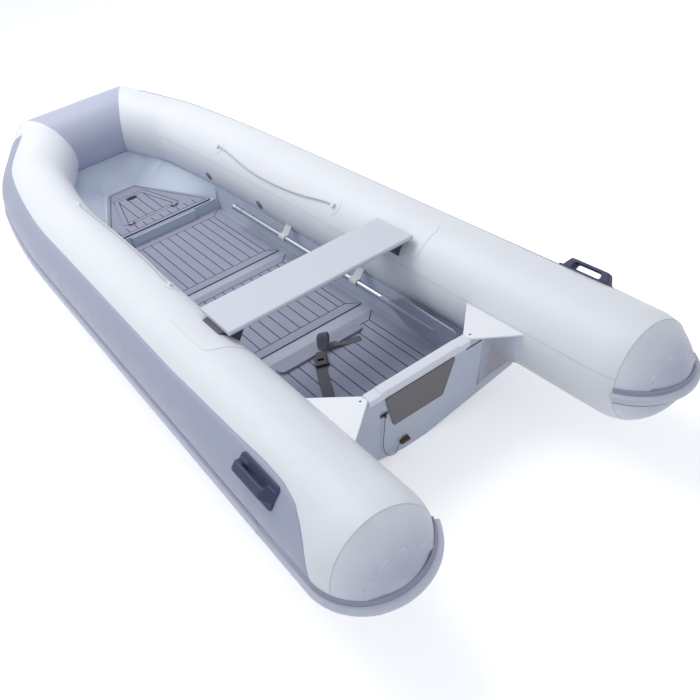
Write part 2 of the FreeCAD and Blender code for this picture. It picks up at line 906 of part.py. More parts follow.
lean = cos_of(S.rake)
up_top = S.transom_top / lean
side_foot = S.chine_height / lean
board = new_body("transom_board")
board_outline = sketch_on(board, "XZ_Plane", "transom_outline")
outline(board_outline, [
    (-S.keel_flat / 2, ZERO),
    (S.keel_flat / 2, ZERO),
    (chine_half, side_foot),
    (S.tube_half_spacing, side_foot + (S.tube_height - S.side_drop - S.chine_height) / lean),
    (S.tube_half_spacing, up_top),
    (-S.tube_half_spacing, up_top),
    (-S.tube_half_spacing, side_foot + (S.tube_height - S.side_drop - S.chine_height) / lean),
    (-chine_half, side_foot),
])
padded(board, board_outline, S.transom_thick, "transom_board_pad", reverse=True)
slot = sketch_on(board, "XZ_Plane", "transom_slot")
slot_low = up_top - (S.slot_drop + S.slot_tall / 2) / lean
outline(slot, [
    (S.slot_from_centre - S.slot_long / 2, slot_low),
    (S.slot_from_centre + S.slot_long / 2, slot_low),
    (S.slot_from_centre + S.slot_long / 2, slot_low + S.slot_tall),
    (S.slot_from_centre - S.slot_long / 2, slot_low + S.slot_tall),
])
pocketed(board, slot, S.slot_tall, "transom_slot_cut")
drain = sketch_on(board, "XZ_Plane", "drain_bore")
circle_in(drain, S.drain_side, S.drain_height / lean, S.drain_bore_radius)
pocketed(board, drain, S.transom_thick * 3, "drain_bore_cut", both_ways=True)
on_transom(board)


def knee_room():
    """What the knees and the air above them take off the transom's leaning top."""
    boxes = []
    for side in (0, 1):
        box = Part.makeBox(float(BIG), float(S.knee_forward * 2), float(S.transom_top))
        box.translate(vec(knee_inner - S.skin_gap, knee_line - S.knee_forward, S.transom_top))
        boxes.append(box.mirror(ORIGIN, ACROSS) if side else box)
    return boxes


transom_room = feature("transom_room", Part.makeCompound(TUBE_ROOM[:2] + knee_room()))
transom = keep(cut_by(board, transom_room, "transom"), "transom")

cap = new_body("cap_body")
cap_section = sketch_on(cap, "YZ_Plane", "cap_section")
outline(cap_section, [
    (-S.cap_thick, up_top - S.cap_skirt),
    (ZERO, up_top - S.cap_skirt),
    (ZERO, up_top),
    (S.transom_thick, up_top),
    (S.transom_thick, up_top - S.cap_skirt),
    (S.transom_thick + S.cap_thick, up_top - S.cap_skirt),
    (S.transom_thick + S.cap_thick, up_top + S.cap_thick),
    (-S.cap_thick, up_top + S.cap_thick),
])
padded(cap, cap_section, cap_half * 2, "cap_fold", both_ways=True)
cap_rise = sketch_on(cap, "YZ_Plane", "cap_rise")
outline(cap_rise, [
    (-S.cap_thick, up_top + S.cap_thick / 2),
    (S.transom_thick + S.cap_thick, up_top + S.cap_thick / 2),
    (S.transom_thick + S.cap_thick, up_top + S.cap_centre_rise),
    (-S.cap_thick, up_top + S.cap_centre_rise),
])
cap_top = padded(cap, cap_rise, cap_centre_half * 2, "cap_centre", both_ways=True)
rounded(cap, cap_top, ACROSS, S.cap_round, "cap_corners",
        lambda spot: spot.z > float(up_top + S.cap_centre_rise / 2))
on_transom(cap)
keep(cap, "transom_cap")


def engine_pad(name, lift, reverse):
    """A board with rounded corners that the outboard's clamps bear on."""
    body = new_body(f"{name}_body")
    shape = sketch_on(body, "XZ_Plane", f"{name}_outline", lift)
    top = up_top - (S.cap_skirt + S.pad_gap)
    outline(shape, [
        (-pad_bottom_half, top - S.pad_tall),
        (pad_bottom_half, top - S.pad_tall),
        (pad_top_half, top),
        (-pad_top_half, top),
    ])
    pad = padded(body, shape, S.pad_thick, f"{name}_pad", reverse=reverse)
    rounded(body, pad, AHEAD, S.pad_round, f"{name}_corners")
    on_transom(body)
    return keep(body, name)


engine_pad("transom_pad_outer", ZERO, False)
engine_pad("transom_pad_inner", -S.transom_thick, True)


def knee(name, side):
    """A flat triangular plate over the corner of transom and tube, with its hole."""
    body = new_body(f"{name}_body")
    shape = sketch_on(body, "XY_Plane", f"{name}_outline", S.transom_top)
    outline(shape, [
        (knee_inner * side, S.knee_tip_half),
        (knee_inner * side, -S.knee_tip_half),
        (knee_outer * side, -S.knee_aft),
        (knee_outer * side, S.knee_forward),
    ])
    circle_in(shape, (knee_inner + S.knee_hole_inset) * side, ZERO, S.knee_hole_radius)
    pad = padded(body, shape, S.knee_thick, f"{name}_plate")
    rounded(body, pad, UP, S.knee_round, f"{name}_corners",
            lambda spot: abs(spot.x) < float(knee_inner) + 1)
    place(body, ZERO, knee_line, ZERO)
    return keep(cut_by(body, tubes_room, name), name)


knee("knee_starboard", 1)
knee("knee_port", -1)


def knee_wings():
    """Hollow-curved webs that carry each knee down the transom's aft face to the tube."""
    inner = float(wing_inner)
    outer = float(wing_outer)
    reach = float(S.wing_reach)
    start = vec(inner, -S.skin_gap, 0)
    end = vec(outer, -reach, 0)
    belly = (start + end) / 2 + vec(reach, inner - outer, 0).normalize() * -float(S.wing_hollow)
    face = Part.Face(Part.Wire([
        Part.Arc(start, belly, end).toShape(),
        Part.LineSegment(end, vec(outer, -S.skin_gap, 0)).toShape(),
        Part.LineSegment(vec(outer, -S.skin_gap, 0), start).toShape(),
    ]))
    web = face.extrude(UP * float(up_top + S.transom_thick))
    web.rotate(ORIGIN, ACROSS, float(S.rake))
    web.translate(vec(0, knee_line + S.transom_foot, 0))
    box = Part.makeBox(float(BIG), float(BIG), float(S.wing_depth))
    box.translate(vec(0, -BIG, S.transom_top - S.wing_depth - S.skin_gap))
    web = web.common(box).cut(TUBE_ROOM[0])
    wing = max(web.Solids, key=lambda solid: solid.Volume)
    return keep(feature("wing_starboard", wing), "wing_starboard")


wing_starboard = knee_wings()
mirrored(wing_starboard, "wing_port")


# Deck plate and its grooved pads
def grooves(spots, start, end, top, wide):
    """Cutters for straight grooves, each given by its two ends in the flat."""
    cutters = []
    for (x1, y1), (x2, y2) in spots:
        begin = vec(x1, knee_line + y1, 0)
        run = vec(x2, knee_line + y2, 0) - begin
        block = Part.makeBox(float(wide), run.Length, float(S.groove_deep + S.overrun))
        block.translate(vec(-wide / 2, 0, 0))
        block.rotate(ORIGIN, UP, math.degrees(math.atan2(run.y, run.x)) - 90)
        block.translate(vec(begin.x, begin.y, top - S.groove_deep))
        cutters.append(block)
    return cutters


def flat_block(points, low, tall):
    """A flat slab from an outline measured from the knee line."""
    corners = [vec(x, knee_line + y, low) for x, y in points]
    return Part.Face(Part.makePolygon(corners + corners[:1])).extrude(UP * float(tall))


sole = new_body("sole_body")
sole_outline = sketch_on(sole, "XY_Plane", "sole_outline", S.deck_height)
sole_half = deck_half - S.sole_gap
sole_aft = S.transom_foot + S.transom_thick / lean - S.deck_height * sin_of(S.rake) / lean + S.sole_gap
outline(sole_outline, [
    (-sole_half, sole_aft),
    (sole_half, sole_aft),
    (sole_half, S.locker_start - S.sole_gap),
    (-sole_half, S.locker_start - S.sole_gap),
])
padded(sole, sole_outline, S.sole_thick, "sole_plate")
place(sole, ZERO, knee_line, ZERO)
keep(sole, "deck_plate")


def deck_pad(name, start, end):
    """Closed-cell foam pad: a mitred border round planks that run fore and aft."""
    half = panel_half
    low = S.deck_height + S.sole_thick
    top = low + S.plank_pad
    slab = Part.makeBox(float(half * 2), float(end - start), float(S.plank_pad))
    slab.translate(vec(-half, knee_line + start, low))
    slab = slab.makeFillet(float(S.panel_round), [edge for edge in slab.Edges
                                                 if abs(edge.Vertexes[0].Z - edge.Vertexes[1].Z)
                                                  > float(S.skin_gap)])
    inner = half - S.border_wide
    aft, fore = start + S.border_wide, end - S.border_wide
    spots = [((-inner, aft), (inner, aft)), ((-inner, fore), (inner, fore))]
    spots += [((side * inner, aft), (side * inner, fore)) for side in (-1, 1)]
    for side in (-1, 1):
        spots.append(((inner * side, aft), (half * side, start)))
        spots.append(((inner * side, fore), (half * side, end)))
    across = S.plank_pitch / 2
    while float(across) < float(inner) - float(S.plank_pitch) / 4:
        spots += [((across * side, aft), (across * side, fore)) for side in (-1, 1)]
        across = across + S.plank_pitch
    return keep(feature(name, slab.cut(grooves(spots, start, end, top, S.groove_wide))), name)


deck_pad("deck_pad_aft", S.panel_aft_start, S.panel_aft_end)
deck_pad("deck_pad_middle", S.panel_middle_start, S.panel_middle_end)
deck_pad("deck_pad_forward", S.panel_forward_start, S.panel_forward_end)


# Bow locker: top plate and front wall in one piece, a hatch, a pad, the hinged lid and its pull
def taper_half(along):
    """The locker plate's half width at a distance ahead of the knee line."""
    share = (along - S.locker_start) / (S.locker_nose - S.locker_start)
    return locker_half - (locker_half - S.locker_nose_half) * share


def wedge(aft, aft_half, fore, fore_half):
    return [(-aft_half, aft), (aft_half, aft), (fore_half, fore), (-fore_half, fore)]


def upright(shape, test=None):
    """The upright edges of a flat slab."""
    return [edge for edge in shape.Edges if len(edge.Vertexes) == 2
            and abs(edge.Vertexes[0].X - edge.Vertexes[1].X) < float(S.skin_gap)
            and abs(edge.Vertexes[0].Y - edge.Vertexes[1].Y) < float(S.skin_gap)
            and (test is None or test(edge.CenterOfMass))]


lid_taper = (S.lid_half - S.lid_nose_half) / (S.lid_end - S.lid_start)


def lid_outline(grow):
    """The lid's outline, grown all round or, with a negative size, drawn in."""
    aft = S.lid_start - grow
    fore = S.lid_end + grow
    return wedge(aft, S.lid_half + lid_taper * grow + grow, fore, S.lid_nose_half - lid_taper * grow + grow)


def lid_block(grow, low, tall):
    """A slab of the lid's outline with rounded corners."""
    block = flat_block(lid_outline(grow), low, tall)
    return block.makeFillet(float(S.lid_round + grow), upright(block))


front = S.locker_start - S.locker_plate
plate = flat_block([
    (-locker_half, front), (locker_half, front), (locker_half, S.locker_start),
    (S.locker_nose_half, S.locker_nose), (-S.locker_nose_half, S.locker_nose), (-locker_half, S.locker_start),
], S.locker_height - S.locker_plate, S.locker_plate)
plate = plate.cut(lid_block(-S.hatch_rim, S.locker_height - S.locker_plate * 2, S.locker_plate * 3))
wall_low = S.deck_height + S.sole_thick
wall_tall = S.locker_height - wall_low
wall_bits = [flat_block([(-locker_half, front), (locker_half, front), (locker_half, S.locker_start),
                         (-locker_half, S.locker_start)], wall_low, wall_tall)]
bulge = flat_block([
    (-S.panel_bulge_half, S.locker_start), (-S.panel_bulge_half, front - S.panel_bulge),
    (S.panel_bulge_half, front - S.panel_bulge), (S.panel_bulge_half, S.locker_start),
], wall_low, wall_tall - S.locker_plate)
aft_line = float(knee_line + front - S.panel_bulge)
bulge = bulge.makeFillet(float(S.panel_bulge - S.skin_gap),
                         upright(bulge, lambda spot: abs(spot.y - aft_line) < float(S.skin_gap)))
wall_bits.append(bulge)
locker = keep(feature("bow_locker", plate.fuse(wall_bits).removeSplitter()), "bow_locker")


def plank_lines(aft, fore, half_at):
    """Groove lines fore and aft across a tapering pad, each stopping short of the pad's edge."""
    spots = []
    across = S.plank_pitch / 2
    step = (fore - aft) / S.plank_samples
    while float(across) < float(half_at(aft)) - float(S.plank_pitch) / 3:
        reach = aft
        while float(reach + step) <= float(fore) and float(half_at(reach + step)) > float(across):
            reach = reach + step
        if float(reach) > float(aft):
            spots += [((across * side, aft), (across * side, reach)) for side in (-1, 1)]
        across = across + S.plank_pitch
    return spots


pad_low = S.locker_height
pad_tall = S.lid_plate + S.plank_pad
pad_edge = S.pad_inset
pad_aft = front + S.pad_lip
pad_nose = S.locker_nose - pad_edge
locker_pad = flat_block([
    (-(locker_half - pad_edge), pad_aft), (locker_half - pad_edge, pad_aft),
    (taper_half(pad_nose) - pad_edge, pad_nose), (-(taper_half(pad_nose) - pad_edge), pad_nose),
], pad_low, pad_tall)
locker_pad = locker_pad.makeFillet(float(S.pad_corner), upright(locker_pad))
locker_pad = locker_pad.cut(lid_block(S.lid_gap, pad_low - S.overrun, pad_tall + S.overrun * 2))
border = S.border_wide / 2
pad_spots = plank_lines(pad_aft + border, S.lid_start - S.lid_gap - border,
                        lambda spot: taper_half(spot) - border)
edge_aft = (taper_half(pad_aft + border) - border, pad_aft + border)
edge_fore = (taper_half(pad_nose - border) - border, pad_nose - border)
for side in (-1, 1):
    pad_spots.append(((edge_aft[0] * side, edge_aft[1]), (edge_fore[0] * side, edge_fore[1])))
pad_spots.append(((-edge_aft[0], edge_aft[1]), (edge_aft[0], edge_aft[1])))
pad_spots.append(((-edge_fore[0], edge_fore[1]), (edge_fore[0], edge_fore[1])))
locker_pad = locker_pad.cut(grooves(pad_spots, pad_aft, pad_nose, pad_low + pad_tall, S.groove_wide))
keep(feature("locker_pad", max(locker_pad.Solids, key=lambda solid: solid.Volume)), "locker_pad")

lid_low = S.locker_height + S.skin_gap
lid_top = S.locker_height + pad_tall
lid = keep(feature("locker_lid", lid_block(ZERO, lid_low, S.lid_plate)), "locker_lid")
lid_pad = lid_block(ZERO, lid_low + S.lid_plate, lid_top - lid_low - S.lid_plate)
inner_aft, inner_fore = S.lid_start + border, S.lid_end - border
half_aft = S.lid_half - lid_taper * border - border
half_fore = S.lid_nose_half + lid_taper * border - border
lid_spots = [((-half_aft, inner_aft), (half_aft, inner_aft)),
             ((-half_fore, inner_fore), (half_fore, inner_fore))]
lid_spots += [((half_aft * side, inner_aft), (half_fore * side, inner_fore)) for side in (-1, 1)]
lid_spots += plank_lines(inner_aft, inner_fore, lambda spot: half_aft - (spot - inner_aft) * lid_taper)
lid_pad = lid_pad.cut(grooves(lid_spots, S.lid_start, S.lid_end, lid_top, S.groove_wide))
keep(feature("lid_pad", lid_pad), "lid_pad")


# Lid hinges: one leaf on the locker, one on the lid, a pin through three knuckles
hinge_line = S.lid_start - S.lid_gap / 2
hinge_level = lid_top + S.hinge_knuckle_radius
knuckle_share = 0.3


def hinges():
    base_bits, leaf_bits = [], []
    wide = float(S.hinge_wide)
    ear = wide * knuckle_share
    radius = float(S.hinge_knuckle_radius)
    play = float(S.hinge_side_play)
    thick = float(S.hinge_leaf_thick)
    for side in (-1, 1):
        middle = vec(S.hinge_half_spacing * side, knee_line + hinge_line, hinge_level)

        def rod(size, start, long):
            return Part.makeCylinder(float(size), long, middle + ACROSS * start, ACROSS)

        def leaf(start, long, way, reach, root):
            """A flat leaf, on a foot that meets its knuckle from below."""
            block = Part.makeBox(long, reach - root, thick)
            block.translate(middle + vec(start, root if way > 0 else -reach, -radius))
            return block

        reach = float(S.hinge_leaf_long + S.lid_gap / 2)
        notch = radius + float(S.lid_gap) / 2
        clear = play + thick
        base = rod(radius, -wide / 2, ear).fuse([
            rod(radius, wide / 2 - ear, ear),
            rod(S.hinge_pin_radius, -wide / 2, wide),
            leaf(-wide / 2, wide, -1, reach, notch),
            leaf(-wide / 2, ear, -1, notch + thick, 0),
            leaf(wide / 2 - ear, ear, -1, notch + thick, 0),
        ])
        inner = wide / 2 - ear - play
        lid_leaf = rod(radius, -inner, inner * 2).fuse([
            leaf(-inner, inner * 2, 1, notch + thick, 0),
            leaf(-wide / 2, wide, 1, reach, notch),
        ]).cut(rod(S.hinge_pin_radius + S.hinge_pin_play, -wide, wide * 2))
        base_bits.append(base.removeSplitter())
        leaf_bits.append(lid_leaf.removeSplitter())
    keep(feature("hinge_base", Part.makeCompound(base_bits)), "hinge_base")
    keep(feature("hinge_leaf", Part.makeCompound(leaf_bits)), "hinge_leaf")


hinges()


def pull():
    """Oval flush pull near the lid's nose: a flange, a raised rim and a dished middle."""
    long, wide = float(S.pull_long), float(S.pull_wide)
    spot = vec(0, knee_line + S.lid_end - S.pull_from_nose, lid_top)

    def oval(less, low, tall):
        ring = Part.Ellipse(spot + vec(0, 0, low), long / 2 - less, wide / 2 - less)
        return Part.Face(Part.Wire(ring.toShape())).extrude(UP * tall)

    flange = float(S.pull_flange)
    body = oval(0, 0, flange).fuse(oval(float(S.pull_rim) / 2, 0, flange + float(S.pull_recess)))
    body = body.cut(oval(float(S.pull_rim), flange - float(S.pull_recess), flange))
    grip = Part.makeBox(float(S.pull_grip_long), float(S.pull_grip_wide), flange)
    grip.translate(spot + vec(-S.pull_grip_long / 2, -S.pull_grip_wide / 2, flange - float(S.pull_recess)))
    keep(feature("lid_pull", body.fuse(grip).removeSplitter()), "lid_pull")


pull()


# Skins and fittings that follow a tube
def frame_at(point, outward, ahead):
    """A placement whose own Z is the outward way and own X the way ahead."""
    return FreeCAD.Placement(point, FreeCAD.Rotation(ahead, outward.cross(ahead), outward, "ZXY"))


def tube_skin(thick):
    """The starboard tube's outside, grown by a skin: between this and TUBE_ROOM lies the skin."""
    return tube_solid(S.tube_radius + S.skin_gap + thick)


SKINS = {}


def rounded_prism(long, wide, round_radius, low, tall):
    """A rounded rectangle standing on its own XY plane, its length along X."""
    block = Part.makeBox(float(long), float(wide), float(tall))
    block.translate(vec(-long / 2, -wide / 2, low))
    return block.makeFillet(float(round_radius), upright(block))


def patch(along, angle, long, wide, round_radius, thick):
    """A skin glued to the starboard tube, its middle at a place on it."""
    point, outward, ahead = tube_frame(along, angle, S.skin_gap)
    block = rounded_prism(long, wide, round_radius, -S.patch_reach, S.patch_reach * 2)
    block.Placement = frame_at(point, outward, ahead)
    key = float(thick)
    if key not in SKINS:
        SKINS[key] = tube_skin(thick)
    skin = block.common(SKINS[key]).cut(TUBE_ROOM[0])
    return max(skin.Solids, key=lambda solid: solid.Volume)


def on_tube(shape, along, angle, proud=ZERO):
    """Carries a shape from its own axes to a place on the starboard tube."""
    shape.Placement = frame_at(*tube_frame(along, angle, S.skin_gap + proud)).multiply(shape.Placement)
    return shape


def both_sides_of(bits):
    return bits + [bit.mirror(ORIGIN, ACROSS) for bit in bits]


# Seat, its brackets and patches
seat_middle = (S.seat_start + S.seat_end) / 2
seat = new_body("seat_body")
seat_outline = sketch_on(seat, "XY_Plane", "seat_outline", S.seat_top - S.seat_thick)
outline(seat_outline, [
    (-seat_half, S.seat_start),
    (seat_half, S.seat_start),
    (seat_half, S.seat_end),
    (-seat_half, S.seat_end),
])
seat_slab = padded(seat, seat_outline, S.seat_thick, "seat_slab")
rounded(seat, seat_slab, ACROSS, S.seat_round, "seat_long_edges")
place(seat, ZERO, knee_line, ZERO)
keep(seat, "seat_board")


def seat_bracket():
    """A gusset from the seat's underside down the inside of the tube."""
    top = S.seat_top - S.seat_thick
    start = knee_line + seat_middle - S.bracket_wide / 2
    foot, outward, _ = tube_frame(seat_middle, S.bracket_foot_angle)
    corners = [
        vec(seat_half - S.bracket_inset, start, top),
        vec(seat_half - S.bracket_inset - S.bracket_deep, start, top),
        vec(seat_half - S.bracket_inset - S.bracket_deep, start, top - S.bracket_thick),
        vec(foot.x, start, foot.z),
        vec(S.tube_half_spacing, start, foot.z),
        vec(S.tube_half_spacing, start, top - S.seat_thick),
    ]
    block = Part.Face(Part.makePolygon(corners + corners[:1])).extrude(AHEAD * float(S.bracket_wide))
    block = block.cut(tube_skin(S.patch_skin + S.skin_gap))
    return max(block.Solids, key=lambda solid: solid.Volume)


bracket = keep(feature("seat_bracket_starboard", seat_bracket()), "seat_bracket_starboard")
mirrored(bracket, "seat_bracket_port")
seat_patch = patch(seat_middle, S.seat_patch_angle, S.seat_patch_long, S.seat_patch_wide,
                   S.seat_patch_round, S.patch_skin)
keep(feature("seat_patches", Part.makeCompound(both_sides_of([seat_patch]))), "seat_patches")


# Oars and the webbing loops that hold them
def oar_shaft():
    axis = vec(oar_half, knee_line + S.oar_shaft_end, S.oar_height)
    long = S.oar_grip_end - S.oar_shaft_end
    shaft = Part.makeCylinder(float(S.oar_radius), float(long), axis, AHEAD)
    grip_start = axis + AHEAD * float(long - S.oar_grip_long)
    grip = Part.makeCylinder(float(S.oar_grip_radius), float(S.oar_grip_long - S.oar_knob_radius),
                             grip_start, AHEAD)
    grip = grip.makeFillet(float(S.oar_grip_radius - S.oar_radius), [grip.Edges[0]])
    knob = Part.makeSphere(float(S.oar_knob_radius), axis + AHEAD * float(long - S.oar_knob_radius))
    return shaft.fuse([grip, knob]).removeSplitter()


def oar_blade():
    """A flat blade with rounded corners, its ferrule and the ridge that runs out along it."""
    half = float(S.oar_blade_tall) / 2
    end = float(knee_line + S.oar_blade_end)
    start = float(knee_line + S.oar_shaft_end)
    shoulder = start - float(S.oar_shoulder)
    neck = float(S.oar_ferrule_radius)
    level = float(S.oar_height)
    thick = float(S.oar_blade_thick)
    x = float(oar_half) - thick / 2
    throat = float(S.oar_throat)
    root = start - float(S.oar_ferrule_long) / 3
    corners = [vec(x, root, level - throat), vec(x, shoulder, level - half),
               vec(x, end, level - half + float(S.oar_tip_rise)),
               vec(x, end, level + half - float(S.oar_tip_rise)),
               vec(x, shoulder, level + half), vec(x, root, level + throat)]
    blade = Part.Face(Part.makePolygon(corners + corners[:1])).extrude(ACROSS * thick)
    tips = [edge for edge in blade.Edges if abs(edge.Vertexes[0].X - edge.Vertexes[-1].X) > thick / 2
            and edge.CenterOfMass.y < shoulder + float(S.skin_gap)]
    blade = blade.makeFillet(float(S.oar_tip_round), tips)
    base = vec(oar_half, start + float(S.oar_ferrule_long) / 2, level)
    ferrule = Part.makeCylinder(neck, float(S.oar_ferrule_long), base, -AHEAD)
    ridge = Part.makeCone(neck, float(S.oar_ridge_radius), float(S.oar_ridge_long),
                          base - AHEAD * float(S.oar_ferrule_long), -AHEAD)
    return blade.fuse([ferrule, ridge]).cut(
        Part.makeCylinder(float(S.oar_radius + S.skin_gap), float(S.oar_ferrule_long) / 2, base, -AHEAD))


def oar_loop(along):
    """Webbing round the shaft and up to an anchor skin on the tube."""
    inner = S.oar_radius + S.loop_play
    outer = inner + S.loop_thick
    start = vec(oar_half, knee_line + along - S.loop_wide / 2, S.oar_height)
    ring = Part.makeCylinder(float(outer), float(S.loop_wide), start, AHEAD)
    anchor, outward, _ = tube_frame(along, S.loop_anchor_angle)
    way = (vec(anchor.x, 0, anchor.z) - vec(start.x, 0, start.z)).normalize()
    sideways = vec(-way.z, 0, way.x) * (float(S.loop_thick) / 2)
    near = start + way * float(inner + S.loop_thick / 2)
    far = vec(anchor.x, start.y, anchor.z) + way * float(S.loop_thick * 2)
    corners = [near + sideways, far + sideways, far - sideways, near - sideways]
    strap = Part.Face(Part.makePolygon(corners + corners[:1])).extrude(AHEAD * float(S.loop_wide))
    skin = patch(along, S.loop_anchor_angle, S.loop_wide + S.loop_thick * 4, S.loop_anchor_tall,
                 S.patch_small_round, S.loop_thick / 2)
    bore = Part.makeCylinder(float(inner), float(S.loop_wide), start, AHEAD)
    whole = ring.fuse([strap, skin]).cut([bore, TUBE_ROOM[0]])
    return max(whole.Solids, key=lambda solid: solid.Volume)


shaft = keep(feature("oar_shaft_starboard", oar_shaft()), "oar_shaft_starboard")
mirrored(shaft, "oar_shaft_port")
blade = keep(feature("oar_blade_starboard", oar_blade()), "oar_blade_starboard")
mirrored(blade, "oar_blade_port")
loops = both_sides_of([oar_loop(S.loop_forward), oar_loop(S.loop_aft)])
keep(feature("oar_holders", Part.makeCompound(loops)), "oar_holders")


# Grab ropes inside the side tubes, their eyes and patches
def rope_eye(along):
    """A round patch with the moulded block that the rope runs into."""
    skin = patch(along, S.rope_angle, S.rope_patch_radius * 2, S.rope_patch_radius * 2,
                 S.rope_patch_radius - S.skin_gap, S.patch_skin)
    block = rounded_prism(S.rope_eye_long, S.rope_eye_wide, S.rope_eye_round, -S.rope_eye_wide,
                          S.rope_eye_wide + S.rope_eye_tall)
    block = on_tube(block, along, S.rope_angle).cut(TUBE_ROOM[0])
    return skin.fuse(block)


eyes = both_sides_of([rope_eye(S.rope_aft), rope_eye(S.rope_forward)])
keep(feature("rope_patches", Part.makeCompound(eyes)), "rope_patches")


ARC_SHARE = 0.45
INNER_SHARE = 1.1


def cord_tube(points, diameter, name):
    """A cord's tube: straight runs joined by tangent arcs, each as large as its two runs allow."""
    route = [vec(*point) for point in points]
    edges = []
    radii = []
    start = route[0]
    for before, here, after in zip(route, route[1:], route[2:]):
        into = (here - before).normalize()
        out = (after - here).normalize()
        turn = into.getAngle(out)
        run = min((here - before).Length, (after - here).Length)
        back = run * ARC_SHARE
        radius = back / math.tan(turn / 2)
        radii.append(radius)
        arc_start = here - into * back
        arc_end = here + out * back
        inward = (out - into).normalize()
        middle = here + inward * (radius / math.cos(turn / 2) - radius)
        if (arc_start - start).Length > float(S.skin_gap):
            edges.append(Part.LineSegment(start, arc_start).toShape())
        else:
            arc_start = start
        edges.append(Part.Arc(arc_start, middle, arc_end).toShape())
        start = arc_end
    edges.append(Part.LineSegment(start, route[-1]).toShape())
    path = Part.Wire(edges)
    face = Part.Wire(Part.Circle(route[0], route[1] - route[0], diameter / 2).toShape())
    tube = path.makePipeShell([face], True, False, 2)
    section = math.pi * diameter ** 2 / 4
    print(f"{name}: length {path.Length:.1f}, volume over section times length "
          f"{tube.Volume / (section * path.Length):.4f}, radii {[round(radius) for radius in radii]}")
    return tube


# Each point: inboard of the tube's straight centre line, ahead of the knee line, height
GRAB_ROPE = (
    (148.4, 1217.0, 555.8),
    (148.4, 1263.4, 555.8),
    (155.5, 1347.4, 547.5),
    (166.0, 1448.4, 537.0),
    (173.0, 1562.4, 529.0),
    (177.0, 1668.4, 523.5),
    (179.5, 1782.4, 520.0),
    (180.0, 1890.4, 519.5),
    (178.5, 1998.4, 522.8),
    (173.9, 2098.4, 528.8),
    (166.3, 2199.4, 537.7),
    (158.0, 2299.4, 547.0),
    (150.5, 2402.6, 556.8),
    (152.4, 2453.9, 557.7),
)
rope_route = [(S.tube_half_spacing - inset, knee_line + ahead, height) for inset, ahead, height in GRAB_ROPE]
rope = feature("rope_starboard", cord_tube(rope_route, float(S.rope_radius * 2), "rope_starboard"))
keep(rope, "rope_starboard")
mirrored(rope, "rope_port")


# Valves
def valve(along):
    base = Part.makeCylinder(float(S.valve_radius), float(S.valve_proud * 3),
                             vec(0, 0, -S.valve_proud * 2), UP)
    cap = Part.makeCylinder(float(S.valve_cap_radius), float(S.valve_proud), ORIGIN, UP)
    cap.translate(vec(0, 0, S.valve_proud / 2))
    slot_cut = Part.makeBox(float(S.valve_cap_radius * 2), float(S.valve_slot), float(S.valve_proud))
    slot_cut.translate(vec(-S.valve_cap_radius, -S.valve_slot / 2, S.valve_proud))
    shape = on_tube(base.fuse(cap).cut(slot_cut), along, S.valve_angle)
    return shape.cut(TUBE_ROOM[0])


valves = both_sides_of([valve(S.valve_forward), valve(valve_aft)])
keep(feature("valves", Part.makeCompound(valves)), "valves")


# Moulded grab handles: a flange on the tube and a proud bar with a finger gap behind it
def handle_bar(long):
    """The bar on its two feet, its length along X and its height along Z."""
    half = float(long) / 2
    foot = float(S.handle_foot)
    proud = float(S.handle_proud)
    thick = float(S.handle_bar_thick)
    low = -float(S.handle_base_thick)
    outside = [vec(-half, 0, low), vec(half, 0, low), vec(half, 0, float(S.handle_base_thick)),
               vec(half - foot / 2, 0, proud), vec(foot / 2 - half, 0, proud),
               vec(-half, 0, float(S.handle_base_thick))]
    inner_foot = foot * INNER_SHARE
    inside = [vec(foot - half, 0, float(S.handle_base_thick)),
              vec(half - foot, 0, float(S.handle_base_thick)),
              vec(half - inner_foot, 0, proud - thick), vec(inner_foot - half, 0, proud - thick)]
    arch = Part.Face(Part.makePolygon(outside + outside[:1]))
    arch = arch.cut(Part.Face(Part.makePolygon(inside + inside[:1])))
    bar = arch.extrude(AHEAD * float(S.handle_bar_wide))
    bar.translate(vec(0, -S.handle_bar_wide / 2, 0))
    crown = [edge for edge in bar.Edges if len(edge.Vertexes) == 2
             and abs(edge.CenterOfMass.z - proud) < float(S.skin_gap)
             and abs(edge.CenterOfMass.y) > float(S.handle_bar_wide) / 3]
    return bar.makeFillet(thick / 2.5, crown)




def handle():
    flange = patch(S.handle_middle, S.handle_angle, S.handle_long, S.handle_base_wide, S.handle_round,
                   S.handle_base_thick)
    bar = on_tube(handle_bar(S.handle_long - S.handle_round), S.handle_middle, S.handle_angle)
    whole = flange.fuse(bar).cut(TUBE_ROOM[0])
    return max(whole.Solids, key=lambda solid: solid.Volume)


grab = keep(feature("handle_starboard", handle()), "handle_starboard")
mirrored(grab, "handle_port")


def bow_handle():
    """The same handle across the front of the bow tube."""
    tilt = math.radians(S.bow_handle_angle)
    outward = vec(0, math.cos(tilt), math.sin(tilt))
    middle = vec(0, corner.y, corner.z) + outward * float(S.tube_radius + S.skin_gap)
    seat_frame = frame_at(middle, outward, ACROSS)
    block = rounded_prism(S.bow_handle_long, S.handle_base_wide, S.handle_round,
                          -S.patch_reach, S.patch_reach * 2)
    block.Placement = seat_frame
    flange = block.common(bow_solid(S.tube_radius + S.skin_gap + S.handle_base_thick))
    bar = handle_bar(S.bow_handle_long - S.handle_round)
    bar.Placement = seat_frame.multiply(bar.Placement)
    whole = flange.fuse(bar).cut(TUBE_ROOM[2])
    keep(feature("bow_handle", max(whole.Solids, key=lambda solid: solid.Volume)), "bow_handle")


bow_handle()


